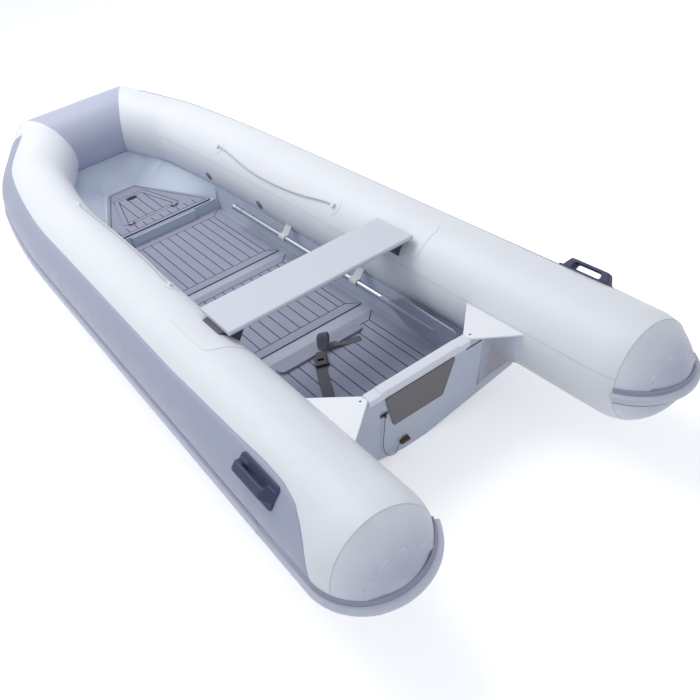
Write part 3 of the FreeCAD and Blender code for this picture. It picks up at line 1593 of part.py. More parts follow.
# Tank stop, strap and buckle on the aft deck pad
floor_level = S.deck_height + S.sole_thick + S.plank_pad
stop = new_body("stop_body")
stop_outline = sketch_on(stop, "XY_Plane", "stop_outline", floor_level)
outline(stop_outline, [
    (-S.stop_half, S.stop_middle - S.stop_wide / 2),
    (S.stop_half, S.stop_middle - S.stop_wide / 2),
    (S.stop_half, S.stop_middle + S.stop_wide / 2),
    (-S.stop_half, S.stop_middle + S.stop_wide / 2),
])
stop_slab = padded(stop, stop_outline, S.stop_tall, "stop_slab")
rounded(stop, stop_slab, UP, S.stop_round, "stop_corners")
place(stop, ZERO, knee_line, ZERO)
keep(stop, "tank_stop")


def strap_band(points):
    """A webbing band along a line of points in its own XZ plane, as wide as the strap."""
    half = float(S.strap_thick) / 2
    upper, lower = [], []
    for step, (u, level) in enumerate(points):
        before = points[max(step - 1, 0)]
        after = points[min(step + 1, len(points) - 1)]
        run = vec(float(after[0]) - float(before[0]), 0, float(after[1]) - float(before[1])).normalize()
        side = vec(-run.z, 0, run.x) * half
        upper.append(vec(u, 0, level) + side)
        lower.append(vec(u, 0, level) - side)
    corners = upper + lower[::-1]
    band = Part.Face(Part.makePolygon(corners + corners[:1])).extrude(AHEAD * float(S.strap_wide))
    band.translate(vec(0, -S.strap_wide / 2, 0))
    return band


def strap():
    """Webbing that lies on the deck, crosses the stop under its buckle and stands up in a loop."""
    rest = floor_level + S.skin_gap + S.strap_thick / 2
    crest = rest + S.stop_tall
    strap_side = S.strap_wide / 2 * sin_of(S.strap_turn)
    stop_reach = (S.stop_wide / 2 + S.stop_clear + strap_side) / cos_of(S.strap_turn)
    band = strap_band([
        (-S.strap_tail, rest),
        (-(stop_reach + S.stop_tall), rest),
        (-stop_reach, crest),
        (stop_reach, crest),
        (stop_reach + S.stop_tall, rest),
        (S.strap_far_tail, rest),
    ])
    loop_half, loop_rise = float(S.strap_loop_half), float(S.strap_loop_rise)
    middle = vec(S.strap_loop_spot, 0, crest - S.strap_thick / 2 + loop_rise / 2)
    rings = []
    for less in (0, float(S.strap_thick)):
        ring = Part.Ellipse(ORIGIN, loop_half - less, loop_rise / 2 - less)
        face = Part.Face(Part.Wire(ring.toShape()))
        face.rotate(ORIGIN, ACROSS, S_QUARTER)
        rings.append(face.extrude(AHEAD * float(S.strap_wide)))
    loop = rings[0].cut(rings[1])
    loop.translate(middle - vec(0, S.strap_wide / 2, 0))
    whole = band.fuse(loop)
    spot = FreeCAD.Placement(vec(S.buckle_side, knee_line + S.stop_middle, 0),
                             FreeCAD.Rotation(UP, 90 - float(S.strap_turn)))
    whole.Placement = spot
    keep(feature("tank_strap", max(whole.Solids, key=lambda solid: solid.Volume)), "tank_strap")
    buckle = Part.makeBox(float(S.buckle_long), float(S.buckle_wide), float(S.buckle_tall))
    buckle.translate(vec(-S.buckle_long / 2 - S.buckle_back, -S.buckle_wide / 2, rest + S.strap_thick / 2))
    buckle = buckle.makeFillet(float(S.buckle_round), [edge for edge in buckle.Edges
                                                       if edge.CenterOfMass.z > float(rest + S.strap_thick)])
    window = Part.makeBox(float(S.buckle_long) / 3, float(S.buckle_wide) / 2, float(S.buckle_tall))
    window.translate(vec(-S.buckle_long / 6 - S.buckle_back, -S.buckle_wide / 4,
                         rest + S.strap_thick / 2 + S.buckle_tall / 2))
    buckle = buckle.cut(window)
    buckle.Placement = spot.multiply(buckle.Placement)
    keep(feature("tank_buckle", buckle), "tank_buckle")


S_QUARTER = 90
strap()


# Drain plug, its lanyard's eye and the lanyard, then the tow eye
def lean_with_transom(shape):
    """Carries a shape from the transom's own axes to the transom."""
    spot = FreeCAD.Placement(vec(0, knee_line + S.transom_foot, 0), FreeCAD.Rotation(ACROSS, float(S.rake)))
    shape.Placement = spot.multiply(shape.Placement)
    return shape


def drain():
    middle = vec(S.drain_side, 0, S.drain_height / lean)
    flange = Part.makeCylinder(float(S.drain_flange_radius), float(S.drain_flange_thick), middle, -AHEAD)
    plug = Part.makeCylinder(float(S.drain_bore_radius - S.skin_gap), float(S.drain_plug_long), middle, AHEAD)
    wing = Part.makeBox(float(S.drain_wing_long), float(S.drain_wing_tall), float(S.drain_wing_thick))
    wing.translate(middle - vec(S.drain_wing_long / 2, S.drain_flange_thick + S.drain_wing_tall,
                                S.drain_wing_thick / 2))
    wing = wing.makeFillet(float(S.drain_wing_thick) / 3, [edge for edge in wing.Edges
                                                          if edge.CenterOfMass.y < -float(S.drain_wing_tall)])
    keep(feature("drain_plug", lean_with_transom(flange.fuse([plug, wing]).removeSplitter())), "drain_plug")


def lanyard_eye():
    middle = vec(S.eye_side, 0, S.eye_height / lean)
    foot = Part.makeBox(float(S.eye_long), float(S.eye_thick), float(S.eye_out))
    foot.translate(middle - vec(S.eye_long / 2, S.eye_thick, S.eye_out / 2))
    stem = Part.makeBox(float(S.eye_thick), float(S.eye_out), float(S.eye_out))
    stem.translate(middle - vec(S.eye_thick / 2, S.eye_out, S.eye_out / 2))
    bore = Part.makeCylinder(float(S.lanyard_radius * 2), float(S.eye_thick * 2),
                             middle - vec(S.eye_thick, S.eye_out - S.lanyard_radius * 3, 0), ACROSS)
    keep(feature("lanyard_eye", lean_with_transom(foot.fuse(stem).cut(bore).removeSplitter())), "lanyard_eye")


drain()
lanyard_eye()
# Each point: across, ahead of the knee line, height
LANYARD = (
    (-173.0, 7.4, 315.3),
    (-173.0, 18.4, 276.6),
    (-175.5, 32.6, 224.5),
    (-178.0, 48.1, 170.7),
    (-176.0, 63.6, 116.9),
    (-167.0, 76.8, 68.6),
    (-149.0, 86.4, 36.0),
    (-124.0, 90.1, 19.4),
    (-104.0, 87.2, 25.9),
    (-106.0, 81.5, 46.1),
    (-102.0, 75.6, 67.0),
    (-85.0, 75.6, 67.0),
)
lanyard_route = [(across, knee_line + ahead, height) for across, ahead, height in LANYARD]
lanyard_tube = cord_tube(lanyard_route, float(S.lanyard_radius * 2), "drain_lanyard")
keep(feature("drain_lanyard", lanyard_tube), "drain_lanyard")


def stem_at(ahead):
    """Height of the stem's flat at a distance ahead of the knee line, and its slope there."""
    low, high = [pair for pair in zip(HULL_STATIONS, HULL_STATIONS[1:])
                 if float(hull_run) * pair[0][0] <= float(ahead) <= float(hull_run) * pair[1][0]][0]
    run = float(hull_run) * (high[0] - low[0])
    rise = float(S.stem_height) * (high[1] - low[1])
    height = float(S.stem_height) * low[1] + (float(ahead) - float(hull_run) * low[0]) * rise / run
    return height, rise / run


def tow_eye():
    """A back plate on the stem with a U bolt through it."""
    ahead = hull_run - S.tow_from_nose
    height, slope = stem_at(ahead)
    along_stem = vec(0, 1, slope).normalize()
    outward = vec(0, slope, -1).normalize()
    spot = frame_at(vec(0, knee_line + ahead, height) + outward * float(S.skin_gap), outward, along_stem)
    plate = rounded_prism(S.tow_plate_tall, S.tow_plate_wide, S.tow_radius, ZERO, S.tow_plate_thick)
    bow = Part.makeTorus(float(S.tow_bow_radius), float(S.tow_radius), vec(0, 0, S.tow_plate_thick), AHEAD)
    keep_above = Part.makeBox(float(BIG), float(BIG), float(BIG))
    keep_above.translate(vec(-BIG / 2, -BIG / 2, S.tow_plate_thick / 2))
    bow = bow.common(keep_above)
    whole = plate.fuse(bow).removeSplitter()
    whole.Placement = spot.multiply(whole.Placement)
    keep(feature("tow_eye", whole), "tow_eye")


tow_eye()


def finish():
    """Checks the document and every sub-part, then writes the files."""
    doc.recompute()
    for item in doc.Objects:
        if "Invalid" in item.State or "Error" in item.State:
            raise RuntimeError(f"{item.Label} did not build: {item.State}")
    os.makedirs("parts", exist_ok=True)
    for item in PARTS:
        shape = item.Shape
        if shape.isNull() or not shape.isValid() or not shape.Solids:
            raise RuntimeError(f"{item.Label} has no valid solid")
        shape.exportStep(f"parts/{item.Label}.step")
        box = shape.BoundBox
        print(f"{item.Label:24s} solids {len(shape.Solids)} volume {shape.Volume / 1e6:9.4f} l  "
              f"x {box.XMin:8.1f} {box.XMax:8.1f} y {box.YMin:8.1f} {box.YMax:8.1f} "
              f"z {box.ZMin:7.1f} {box.ZMax:7.1f}")


finish()
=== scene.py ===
"""Looks of the inflatable boat: a material for every CAD node, and the forms that the model keeps plain.

Lengths are metres, seen from the boat: across to starboard, ahead to the bow and up from the keel.
Angles round a side tube go from outboard over the top to inboard.
"""
import math

import bmesh
import bpy
from mathutils import Matrix, Vector


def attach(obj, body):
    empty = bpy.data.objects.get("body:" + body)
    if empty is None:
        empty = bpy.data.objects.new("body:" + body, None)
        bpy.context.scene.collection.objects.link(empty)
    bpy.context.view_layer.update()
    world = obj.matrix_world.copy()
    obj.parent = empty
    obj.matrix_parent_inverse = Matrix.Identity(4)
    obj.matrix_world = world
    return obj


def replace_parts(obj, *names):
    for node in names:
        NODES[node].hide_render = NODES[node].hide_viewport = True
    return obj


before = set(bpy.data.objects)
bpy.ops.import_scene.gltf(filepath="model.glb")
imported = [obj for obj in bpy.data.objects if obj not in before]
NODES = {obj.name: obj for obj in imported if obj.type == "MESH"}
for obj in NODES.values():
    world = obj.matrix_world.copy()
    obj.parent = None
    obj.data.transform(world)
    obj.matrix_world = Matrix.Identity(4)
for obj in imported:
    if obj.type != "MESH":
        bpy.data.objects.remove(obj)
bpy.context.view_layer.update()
SIDES = (("starboard", 1), ("port", -1))

# The model's sizes that the looks follow
TUBE_RADIUS = 0.215
TUBE_HALF = 0.602
TUBE_HEIGHT = 0.388
KNEE_LINE = -1.5582
SEAM_AFT = 0.580
SHEER_TILT = math.radians(25.7)
STRAIGHT = 2.233
GENTLE_RADIUS = 5.73
GENTLE_TURN = math.radians(9.2)
TIGHT_RADIUS = 0.465
TIGHT_TURN = math.radians(26.8)
BOW_LEG = 0.323
PATH = (
    ("straight", SEAM_AFT + STRAIGHT),
    ("turn", GENTLE_RADIUS, GENTLE_TURN),
    ("turn", TIGHT_RADIUS, TIGHT_TURN),
    ("straight", BOW_LEG * 2),
)
CORNER_RUN = SEAM_AFT + STRAIGHT + GENTLE_RADIUS * GENTLE_TURN + TIGHT_RADIUS * TIGHT_TURN + BOW_LEG
BOW_ALONG = 2.0512
BOW_LEVEL = 0.5382
BOW_LEAN = math.radians(1.44)
STRAKE_DROP = math.radians(11)
BEAD_HALF = 0.0160
BEAD_MIDDLE = 0.0575
RAKE = math.radians(15.8)
TRANSOM_FOOT = 0.106
PAD_TOP = 0.126
LOCKER_TOP = 0.201
GROOVE_DEPTH = 0.002
GRAB_ROPE_THICK = 0.008
LANYARD_THICK = 0.003

# Where the webs under the knees leave the transom, and how soon painted shade darkens them into the corner
WEB_INNER = 0.325
WEB_SHADE = 0.055

# Colours used more than once
WHITE = (0.79, 0.815, 0.86)
LAVENDER = (0.47, 0.50, 0.63)
BAND = (0.35, 0.37, 0.48)
BEAD = (0.54, 0.56, 0.67)
BAND_AFT = (0.30, 0.30, 0.41)
BEAD_AFT = (0.54, 0.57, 0.66)
# The foot colours are painted shade on the strake's band below its bead, darker still toward the stern
FOOT_SHADE_AFT = (0.15, 0.155, 0.21)
FOOT_SHADE = 0.55
GROOVE_DARK = (0.035, 0.035, 0.08)


# Materials
def shader(name, colour, roughness, **sockets):
    """A material whose Principled shader starts from plain values."""
    material = bpy.data.materials.new(name)
    material.use_nodes = True
    principled = material.node_tree.nodes["Principled BSDF"]
    principled.inputs["Base Color"].default_value = (*colour, 1)
    principled.inputs["Roughness"].default_value = roughness
    for socket, value in sockets.items():
        principled.inputs[socket.replace("_", " ")].default_value = value
    return material, principled


def node(material, kind, **settings):
    made = material.node_tree.nodes.new(kind)
    for key, value in settings.items():
        setattr(made, key, value)
    return made


def join(material, start, end):
    material.node_tree.links.new(start, end)


def place_in(material):
    """The piece's own coordinates, which on every piece are the boat's."""
    return node(material, "ShaderNodeTexCoord").outputs["Object"]


def noise(material, scale, detail, stretch=(1, 1, 1)):
    mapping = node(material, "ShaderNodeMapping")
    mapping.inputs["Scale"].default_value = stretch
    join(material, place_in(material), mapping.inputs["Vector"])
    texture = node(material, "ShaderNodeTexNoise")
    texture.inputs["Scale"].default_value = scale
    texture.inputs["Detail"].default_value = detail
    join(material, mapping.outputs["Vector"], texture.inputs["Vector"])
    return texture.outputs["Fac"]


def wave(material, scale, direction):
    texture = node(material, "ShaderNodeTexWave", bands_direction=direction)
    texture.inputs["Scale"].default_value = scale
    join(material, place_in(material), texture.inputs["Vector"])
    return texture.outputs["Fac"]


def maths(material, operation, *values):
    made = node(material, "ShaderNodeMath", operation=operation)
    for socket, value in zip(made.inputs, values):
        if isinstance(value, (int, float)):
            socket.default_value = value
        else:
            join(material, value, socket)
    return made.outputs[0]


def axis_of(material, axis):
    split = node(material, "ShaderNodeSeparateXYZ")
    join(material, place_in(material), split.inputs[0])
    return split.outputs[axis]


def aft_of_knees(material):
    return maths(material, "SUBTRACT", KNEE_LINE, axis_of(material, "Y"))


def off_centre(material):
    return maths(material, "ABSOLUTE", axis_of(material, "X"))


def step_mask(material, value, low, high):
    """0 below low, 1 above high."""
    ramp = node(material, "ShaderNodeMapRange")
    ramp.inputs["From Min"].default_value = low
    ramp.inputs["From Max"].default_value = high
    join(material, value, ramp.inputs["Value"])
    return ramp.outputs["Result"]


def flipped(material, mask):
    return maths(material, "SUBTRACT", 1.0, mask)


def tint(material, principled, mask, low, high):
    """Colour that runs from low to high with a mask."""
    mix = node(material, "ShaderNodeMix", data_type="RGBA")
    join(material, mask, mix.inputs["Factor"])
    mix.inputs[6].default_value = (*low, 1)
    mix.inputs[7].default_value = (*high, 1)
    join(material, mix.outputs[2], principled.inputs["Base Color"])
    return mix


def layer(material, principled, mix, mask, colour):
    """A further colour over a tint, where its mask is 1."""
    over = node(material, "ShaderNodeMix", data_type="RGBA")
    join(material, mask, over.inputs["Factor"])
    join(material, mix.outputs[2], over.inputs[6])
    over.inputs[7].default_value = (*colour, 1)
    join(material, over.outputs[2], principled.inputs["Base Color"])
    return over


def bump(material, principled, height, distance, strength, before=None):
    made = node(material, "ShaderNodeBump")
    made.inputs["Distance"].default_value = distance
    made.inputs["Strength"].default_value = strength
    join(material, height, made.inputs["Height"])
    if before is not None:
        join(material, before, made.inputs["Normal"])
    join(material, made.outputs["Normal"], principled.inputs["Normal"])
    return made.outputs["Normal"]


def shaded(colour, share):
    return tuple(channel * share for channel in colour)


def fabric_grain(material, principled, before=None):
    grain = noise(material, scale=420, detail=2)
    bump(material, principled, grain, distance=0.0002, strength=0.4, before=before)


def rubber_grain(material, principled):
    bump(material, principled, noise(material, scale=900, detail=3), distance=0.0003, strength=0.6)


FABRIC_SHINE = 0.35
FABRIC_ROUGHNESS = 0.42
ROUGHNESS_SWING = 0.12
WEAVE_SCALE = 900


def coated_fabric(name, colour):
    """Coated boat fabric: a faint weave, soft patches of shade and shallow dimples."""
    material, principled = shader(name, colour, FABRIC_ROUGHNESS, Specular_IOR_Level=FABRIC_SHINE)
    tint(material, principled, noise(material, scale=3.1, detail=4), shaded(colour, 0.955), colour)
    patches = step_mask(material, noise(material, scale=22, detail=5), low=0.3, high=0.7)
    least = FABRIC_ROUGHNESS - ROUGHNESS_SWING / 2
    roughness = maths(material, "MULTIPLY_ADD", patches, ROUGHNESS_SWING, least)
    join(material, roughness, principled.inputs["Roughness"])
    soft = bump(material, principled, noise(material, scale=5, detail=3), distance=0.004, strength=0.5)
    weave = maths(material, "ADD", wave(material, WEAVE_SCALE, "X"), wave(material, WEAVE_SCALE, "Y"))
    bump(material, principled, weave, distance=0.00004, strength=0.4, before=soft)
    return material


TIP_GREY_AND_SHADE_START = 0.575
TIP_GREY_AND_SHADE_FULL = 0.70


def cone_fabric(name, colour, tip_colour):
    """Coated fabric that darkens toward the tip, partly its own lavender-grey and partly painted shade, with
    soft creases that run fore and aft.
    """
    material, principled = shader(name, colour, 0.45, Specular_IOR_Level=FABRIC_SHINE)
    # Painted shade and the cone's own lavender-grey both darken it toward the tip
    mix = tint(material, principled, step_mask(material, aft_of_knees(material), TIP_GREY_AND_SHADE_START, TIP_GREY_AND_SHADE_FULL),
               colour, tip_colour)
    patches = step_mask(material, noise(material, scale=9, detail=4), low=0.5, high=0.85)
    layer(material, principled, mix, patches, shaded(colour, 0.86))
    creases = noise(material, scale=16, detail=4, stretch=(1, 0.25, 1))
    fabric_grain(material, principled, bump(material, principled, creases, distance=0.006, strength=0.55))
    return material


WEB_LIGHT_START = 0.02
WEB_LIGHT_FULL = 0.115


def web_fabric(name, colour, corner_shade_colour):
    """Coated fabric with painted shade that darkens it into the corner and along upright fold lines, and
    lighter again along the tube, where the shade lifts and the colour runs toward the tube's white.
    """
    material, principled = shader(name, colour, 0.5, Specular_IOR_Level=0.3)
    # Painted shade in the corner between the transom and the tube
    corner_shade = step_mask(material, off_centre(material), WEB_INNER, WEB_INNER + WEB_SHADE)
    mix = tint(material, principled, corner_shade, colour, corner_shade_colour)
    # Painted shade in the upright fold lines
    folds = step_mask(material, noise(material, scale=14, detail=3, stretch=(5, 2, 0.25)), low=0.5, high=0.75)
    mix = layer(material, principled, mix, folds, shaded(corner_shade_colour, 0.9))
    # Lighter along the tube: the painted corner shade lifts and the colour runs toward the tube's white
    light = step_mask(material, aft_of_knees(material), WEB_LIGHT_START, WEB_LIGHT_FULL)
    layer(material, principled, mix, light, shaded(colour, 1.32))
    fabric_grain(material, principled)
    return material


def gelcoat(name, colour):
    """Glossy moulded skin with slow changes of shade."""
    material, principled = shader(name, colour, 0.28, Coat_Weight=0.25, Coat_Roughness=0.15)
    tint(material, principled, noise(material, scale=2.2, detail=5), shaded(colour, 0.93), colour)
    bump(material, principled, noise(material, scale=60, detail=2), distance=0.0002, strength=0.4)
    return material


def foam_planks(name, colour, top):
    """Brushed foam planks with dark seams at the bottom of their grooves."""
    material, principled = shader(name, colour, 0.82, Specular_IOR_Level=0.2)
    streaks = noise(material, scale=9, detail=6, stretch=(26, 1.2, 26))
    mix = tint(material, principled, streaks, shaded(colour, 0.86), shaded(colour, 1.06))
    face = step_mask(material, axis_of(material, "Z"), top - GROOVE_DEPTH * 0.75, top - GROOVE_DEPTH * 0.35)
    layer(material, principled, mix, flipped(material, face), GROOVE_DARK)
    pores = noise(material, scale=380, detail=3, stretch=(1, 0.25, 1))
    bump(material, principled, pores, distance=0.0004, strength=0.7)
    return material


def painted(name, colour, roughness):
    material, principled = shader(name, colour, roughness)
    tint(material, principled, noise(material, scale=7, detail=5), shaded(colour, 0.94), colour)
    bump(material, principled, noise(material, scale=240, detail=2), distance=0.00015, strength=0.5)
    return material


def moulded(name, colour, roughness=0.6):
    """Moulded rubber or nylon with a fine leathery grain."""
    material, principled = shader(name, colour, roughness)
    tint(material, principled, noise(material, scale=14, detail=4), shaded(colour, 0.85), shaded(colour, 1.1))
    rubber_grain(material, principled)
    return material


BRUSHED_ACROSS = (1, 60, 60)
BRUSHED_ALONG = (60, 1, 60)


def metal(name, colour, roughness, brushed=BRUSHED_ACROSS):
    material, principled = shader(name, colour, roughness, Metallic=1.0)
    scratches = noise(material, scale=30, detail=5, stretch=brushed)
    tint(material, principled, scratches, shaded(colour, 0.88), colour)
    bump(material, principled, scratches, distance=0.0001, strength=0.3)
    return material


RIB_SCALE = 330


def webbing(name, colour):
    """Woven webbing or rope with crossed ribs."""
    material, principled = shader(name, colour, 0.8, Sheen_Weight=0.3)
    ribs = maths(material, "MULTIPLY", wave(material, RIB_SCALE, "X"), wave(material, RIB_SCALE, "Y"))
    tint(material, principled, ribs, shaded(colour, 0.7), shaded(colour, 1.1))
    bump(material, principled, ribs, distance=0.0005, strength=0.7)
    return material


def side_strake_offset(material):
    """Distance above the bead's middle on the tilted run alongside."""
    across = maths(material, "SUBTRACT", off_centre(material), TUBE_HALF)
    up = maths(material, "SUBTRACT", axis_of(material, "Z"), TUBE_HEIGHT)
    rise = maths(material, "MULTIPLY_ADD", up, math.cos(SHEER_TILT), -BEAD_MIDDLE)
    return maths(material, "ADD", maths(material, "MULTIPLY", across, math.sin(SHEER_TILT)), rise)


def front_strake_offset(material):
    """Distance above the bead's middle across the bow, where the strake stands just over the tube's front."""
    up = maths(material, "SUBTRACT", axis_of(material, "Z"), BOW_LEVEL)
    back = maths(material, "SUBTRACT", BOW_ALONG, axis_of(material, "Y"))
    rise = maths(material, "MULTIPLY", up, math.cos(BOW_LEAN))
    return maths(material, "MULTIPLY_ADD", back, math.sin(BOW_LEAN), rise)


EDGE_BLUR = 0.001
BEAD_EDGE = 0.0003


def strake_rubber(name, offset_of):
    """Moulded rubber: a dark band, a lighter bead along its middle and painted shade that darkens the band
    below the bead.
    """
    material, principled = shader(name, BAND, 0.5)
    offset = offset_of(material)
    patches = noise(material, scale=14, detail=4)
    mix = tint(material, principled, patches, shaded(BAND, 0.88), shaded(BAND, 1.08))
    # Painted shade on the band below the bead
    above = step_mask(material, offset, -BEAD_HALF - EDGE_BLUR, EDGE_BLUR - BEAD_HALF)
    mix = layer(material, principled, mix, flipped(material, above), shaded(BAND, FOOT_SHADE))
    away = maths(material, "ABSOLUTE", offset)
    away = step_mask(material, away, BEAD_HALF + BEAD_EDGE, BEAD_HALF + EDGE_BLUR)
    layer(material, principled, mix, flipped(material, away), BEAD)
    rubber_grain(material, principled)
    return material


FADE_START = 0.28
FADE_FULL = 0.50


def strake_fading(name, colour, aft_colour):
    """Moulded rubber whose colour changes toward the stern."""
    material, principled = shader(name, colour, 0.5)
    mask = step_mask(material, aft_of_knees(material), FADE_START, FADE_FULL)
    mix = tint(material, principled, mask, colour, aft_colour)
    patches = step_mask(material, noise(material, scale=14, detail=4), low=0.45, high=2.0)
    layer(material, principled, mix, patches, shaded(colour, 0.8))
    rubber_grain(material, principled)
    return material


tube_white = coated_fabric("tube_white", WHITE)
tube_lavender = coated_fabric("tube_lavender", LAVENDER)
panel_lavender = coated_fabric("panel_lavender", (0.37, 0.40, 0.52))
# The tip colour is partly the cone's own lavender-grey and partly painted shade
tube_cone = cone_fabric("tube_cone", (0.74, 0.77, 0.83), (0.46, 0.49, 0.60))
seam_tape = coated_fabric("seam_tape", (0.60, 0.63, 0.70))
# The web's second colour is painted shade in its corner
wing_grey = web_fabric("wing_grey", (0.51, 0.545, 0.64), (0.41, 0.40, 0.445))
strake_side = strake_rubber("strake_side", side_strake_offset)
strake_front = strake_rubber("strake_front", front_strake_offset)
strake_flange = strake_fading("strake_flange", BAND, BAND_AFT)
strake_bead = strake_fading("strake_bead", BEAD, BEAD_AFT)
# The band below the bead: painted shade, darker still toward the stern
strake_foot_shade = strake_fading("strake_foot_shade", shaded(BAND, FOOT_SHADE), FOOT_SHADE_AFT)
hull_finish = gelcoat("hull_finish", (0.60, 0.67, 0.79))
deck_finish = gelcoat("deck_finish", (0.40, 0.43, 0.53))
transom_finish = gelcoat("transom_finish", (0.50, 0.56, 0.68))
locker_finish = gelcoat("locker_finish", (0.50, 0.57, 0.68))
knee_white = painted("knee_white", (0.86, 0.88, 0.92), roughness=0.35)
cap_bright = painted("cap_bright", (0.80, 0.82, 0.90), roughness=0.3)
engine_board = painted("engine_board", (0.155, 0.145, 0.155), roughness=0.55)
seat_finish = painted("seat_finish", (0.62, 0.65, 0.73), roughness=0.5)
deck_planks = foam_planks("deck_planks", (0.34, 0.355, 0.455), PAD_TOP)
locker_planks = foam_planks("locker_planks", (0.33, 0.345, 0.44), LOCKER_TOP)
dark_rubber = moulded("dark_rubber", (0.06, 0.06, 0.09))
handle_slate = moulded("handle_slate", (0.028, 0.034, 0.098), roughness=0.55)
black_nylon = moulded("black_nylon", (0.015, 0.015, 0.02), roughness=0.4)
grey_nylon = moulded("grey_nylon", (0.20, 0.21, 0.27), roughness=0.5)
stop_grey = moulded("stop_grey", (0.27, 0.28, 0.37), roughness=0.5)
blade_grey = moulded("blade_grey", (0.36, 0.37, 0.47), roughness=0.45)
line_dark = moulded("line_dark", (0.11, 0.115, 0.14))
# Painted shade for the inside of the transom's slot
slot_shade_dark = moulded("slot_shade_dark", (0.02, 0.02, 0.03), roughness=0.8)
oar_silver = metal("oar_silver", (0.46, 0.48, 0.54), roughness=0.38, brushed=BRUSHED_ALONG)
steel = metal("steel", (0.55, 0.56, 0.60), roughness=0.3)
hinge_steel = metal("hinge_steel", (0.16, 0.17, 0.20), roughness=0.45)
plug_brass = metal("plug_brass", (0.16, 0.14, 0.11), roughness=0.5)
white_web = webbing("white_web", (0.78, 0.80, 0.84))
dark_web = webbing("dark_web", (0.115, 0.12, 0.15))
rope_white = webbing("rope_white", (0.82, 0.84, 0.87))

FINISH = {
    "tube_starboard": tube_white, "tube_port": tube_white, "tube_bow": tube_lavender,
    "cone_starboard": tube_cone, "cone_port": tube_cone,
    "strake_starboard": strake_side, "strake_port": strake_side, "strake_bow": strake_front,
    "hull_shell": hull_finish, "transom": transom_finish, "transom_cap": cap_bright,
    "transom_pad_outer": engine_board, "transom_pad_inner": engine_board,
    "knee_starboard": knee_white, "knee_port": knee_white,
    "wing_starboard": wing_grey, "wing_port": wing_grey,
    "deck_plate": deck_finish, "deck_pad_aft": deck_planks, "deck_pad_middle": deck_planks,
    "deck_pad_forward": deck_planks, "bow_locker": locker_finish, "locker_pad": locker_planks,
    "locker_lid": locker_finish, "lid_pad": locker_planks, "hinge_base": hinge_steel, "hinge_leaf": steel,
    "lid_pull": black_nylon, "seat_board": seat_finish, "seat_bracket_starboard": dark_rubber,
    "seat_bracket_port": dark_rubber, "seat_patches": tube_white, "oar_shaft_starboard": oar_silver,
    "oar_shaft_port": oar_silver, "oar_blade_starboard": blade_grey, "oar_blade_port": blade_grey,
    "oar_holders": white_web, "rope_patches": tube_white, "valves": grey_nylon,
    "handle_starboard": handle_slate, "handle_port": handle_slate, "bow_handle": handle_slate,
    "tank_stop": stop_grey, "tank_strap": dark_web, "tank_buckle": black_nylon, "drain_plug": plug_brass,
    "lanyard_eye": black_nylon, "tow_eye": steel,
}
for name, finish in FINISH.items():
    piece = NODES[name]
    if not piece.material_slots:
        piece.data.materials.append(finish)
    for held in piece.material_slots:
        held.material = finish


# Moulded handles: the model's shape with its edges melted together
MELT_SIZE = 0.0025

for name in ("handle_starboard", "handle_port", "bow_handle"):
    melt = NODES[name].modifiers.new("melt", "REMESH")
    melt.mode = "VOXEL"
    melt.voxel_size = MELT_SIZE
    melt.use_smooth_shade = True
    ease = NODES[name].modifiers.new("ease", "SMOOTH")
    ease.factor = 0.6
    ease.iterations = 34


# A side tube's path, as in the model
def flat_state(run):
    """Point and heading on the flat run, at a distance from the cone seam."""
    point = Vector((0, 0, 0))
    heading = 0.0
    for leg in PATH:
        if leg[0] == "straight":
            step = min(run, leg[1])
            point = point + Vector((-math.sin(heading), math.cos(heading), 0)) * step
        else:
            step = min(run, leg[1] * leg[2])
            centre = point - Vector((math.cos(heading), math.sin(heading), 0)) * leg[1]
            heading += step / leg[1]
            point = centre + Vector((math.cos(heading), math.sin(heading), 0)) * leg[1]
        run -= step
        if run <= 0:
            break
    return point, heading


TILT = Matrix.Rotation(SHEER_TILT, 3, "Y")


def path_point(point):
    """Where a point of the starboard tube's flat run stands on the boat."""
    return TILT @ point + Vector((TUBE_HALF, KNEE_LINE - SEAM_AFT, TUBE_HEIGHT))


def on_tube(along, angle, proud, side):
    """A point on a side tube and its outward way, at a distance ahead of the knee line."""
    point, heading = flat_state(SEAM_AFT + along)
    flat_angle = math.radians(angle) + SHEER_TILT
    outward = Vector((math.cos(heading), math.sin(heading), 0)) * math.cos(flat_angle)
    outward = TILT @ (outward + Vector((0, 0, math.sin(flat_angle))))
    spot = path_point(point) + outward * (TUBE_RADIUS + proud)
    if side < 0:
        return Vector((-spot.x, spot.y, spot.z)), Vector((-outward.x, outward.y, outward.z))
    return spot, outward


# Pieces and meshes
def shown(name, data, finish):
    """An object that shows data with its finish, riding on the boat."""
    data.materials.append(finish)
    piece = bpy.data.objects.new(name, data)
    bpy.context.collection.objects.link(piece)
    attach(piece, "boat")
    return piece


def mesh_piece(name, build, finish):
    """A smooth mesh object that build fills."""
    mesh = bpy.data.meshes.new(name)
    made = bmesh.new()
    build(made)
    bmesh.ops.recalc_face_normals(made, faces=made.faces)
    made.to_mesh(mesh)
    made.free()
    for face in mesh.polygons:
        face.use_smooth = True
    return shown(name, mesh, finish)


def rim(rows):
    """The vertices round the edge of a grid, in order."""
    return rows[0] + [row[-1] for row in rows[1:]] + rows[-1][-2::-1] + [row[0] for row in rows[-2:0:-1]]


def skin(made, rows, thick):
    """A thin closed sheet: rows of (point, outward way), with its edges turned down to the surface."""
    top = [[made.verts.new(point + way * thick) for point, way in row] for row in rows]
    low = [[made.verts.new(point) for point, way in row] for row in rows]
    for upper, under in ((top, 1), (low, -1)):
        for first, second in zip(upper, upper[1:]):
            for index in range(len(first) - 1):
                corners = (first[index], first[index + 1], second[index + 1], second[index])
                made.faces.new(corners[::under])
    join_rings(made, [rim(top), rim(low)])


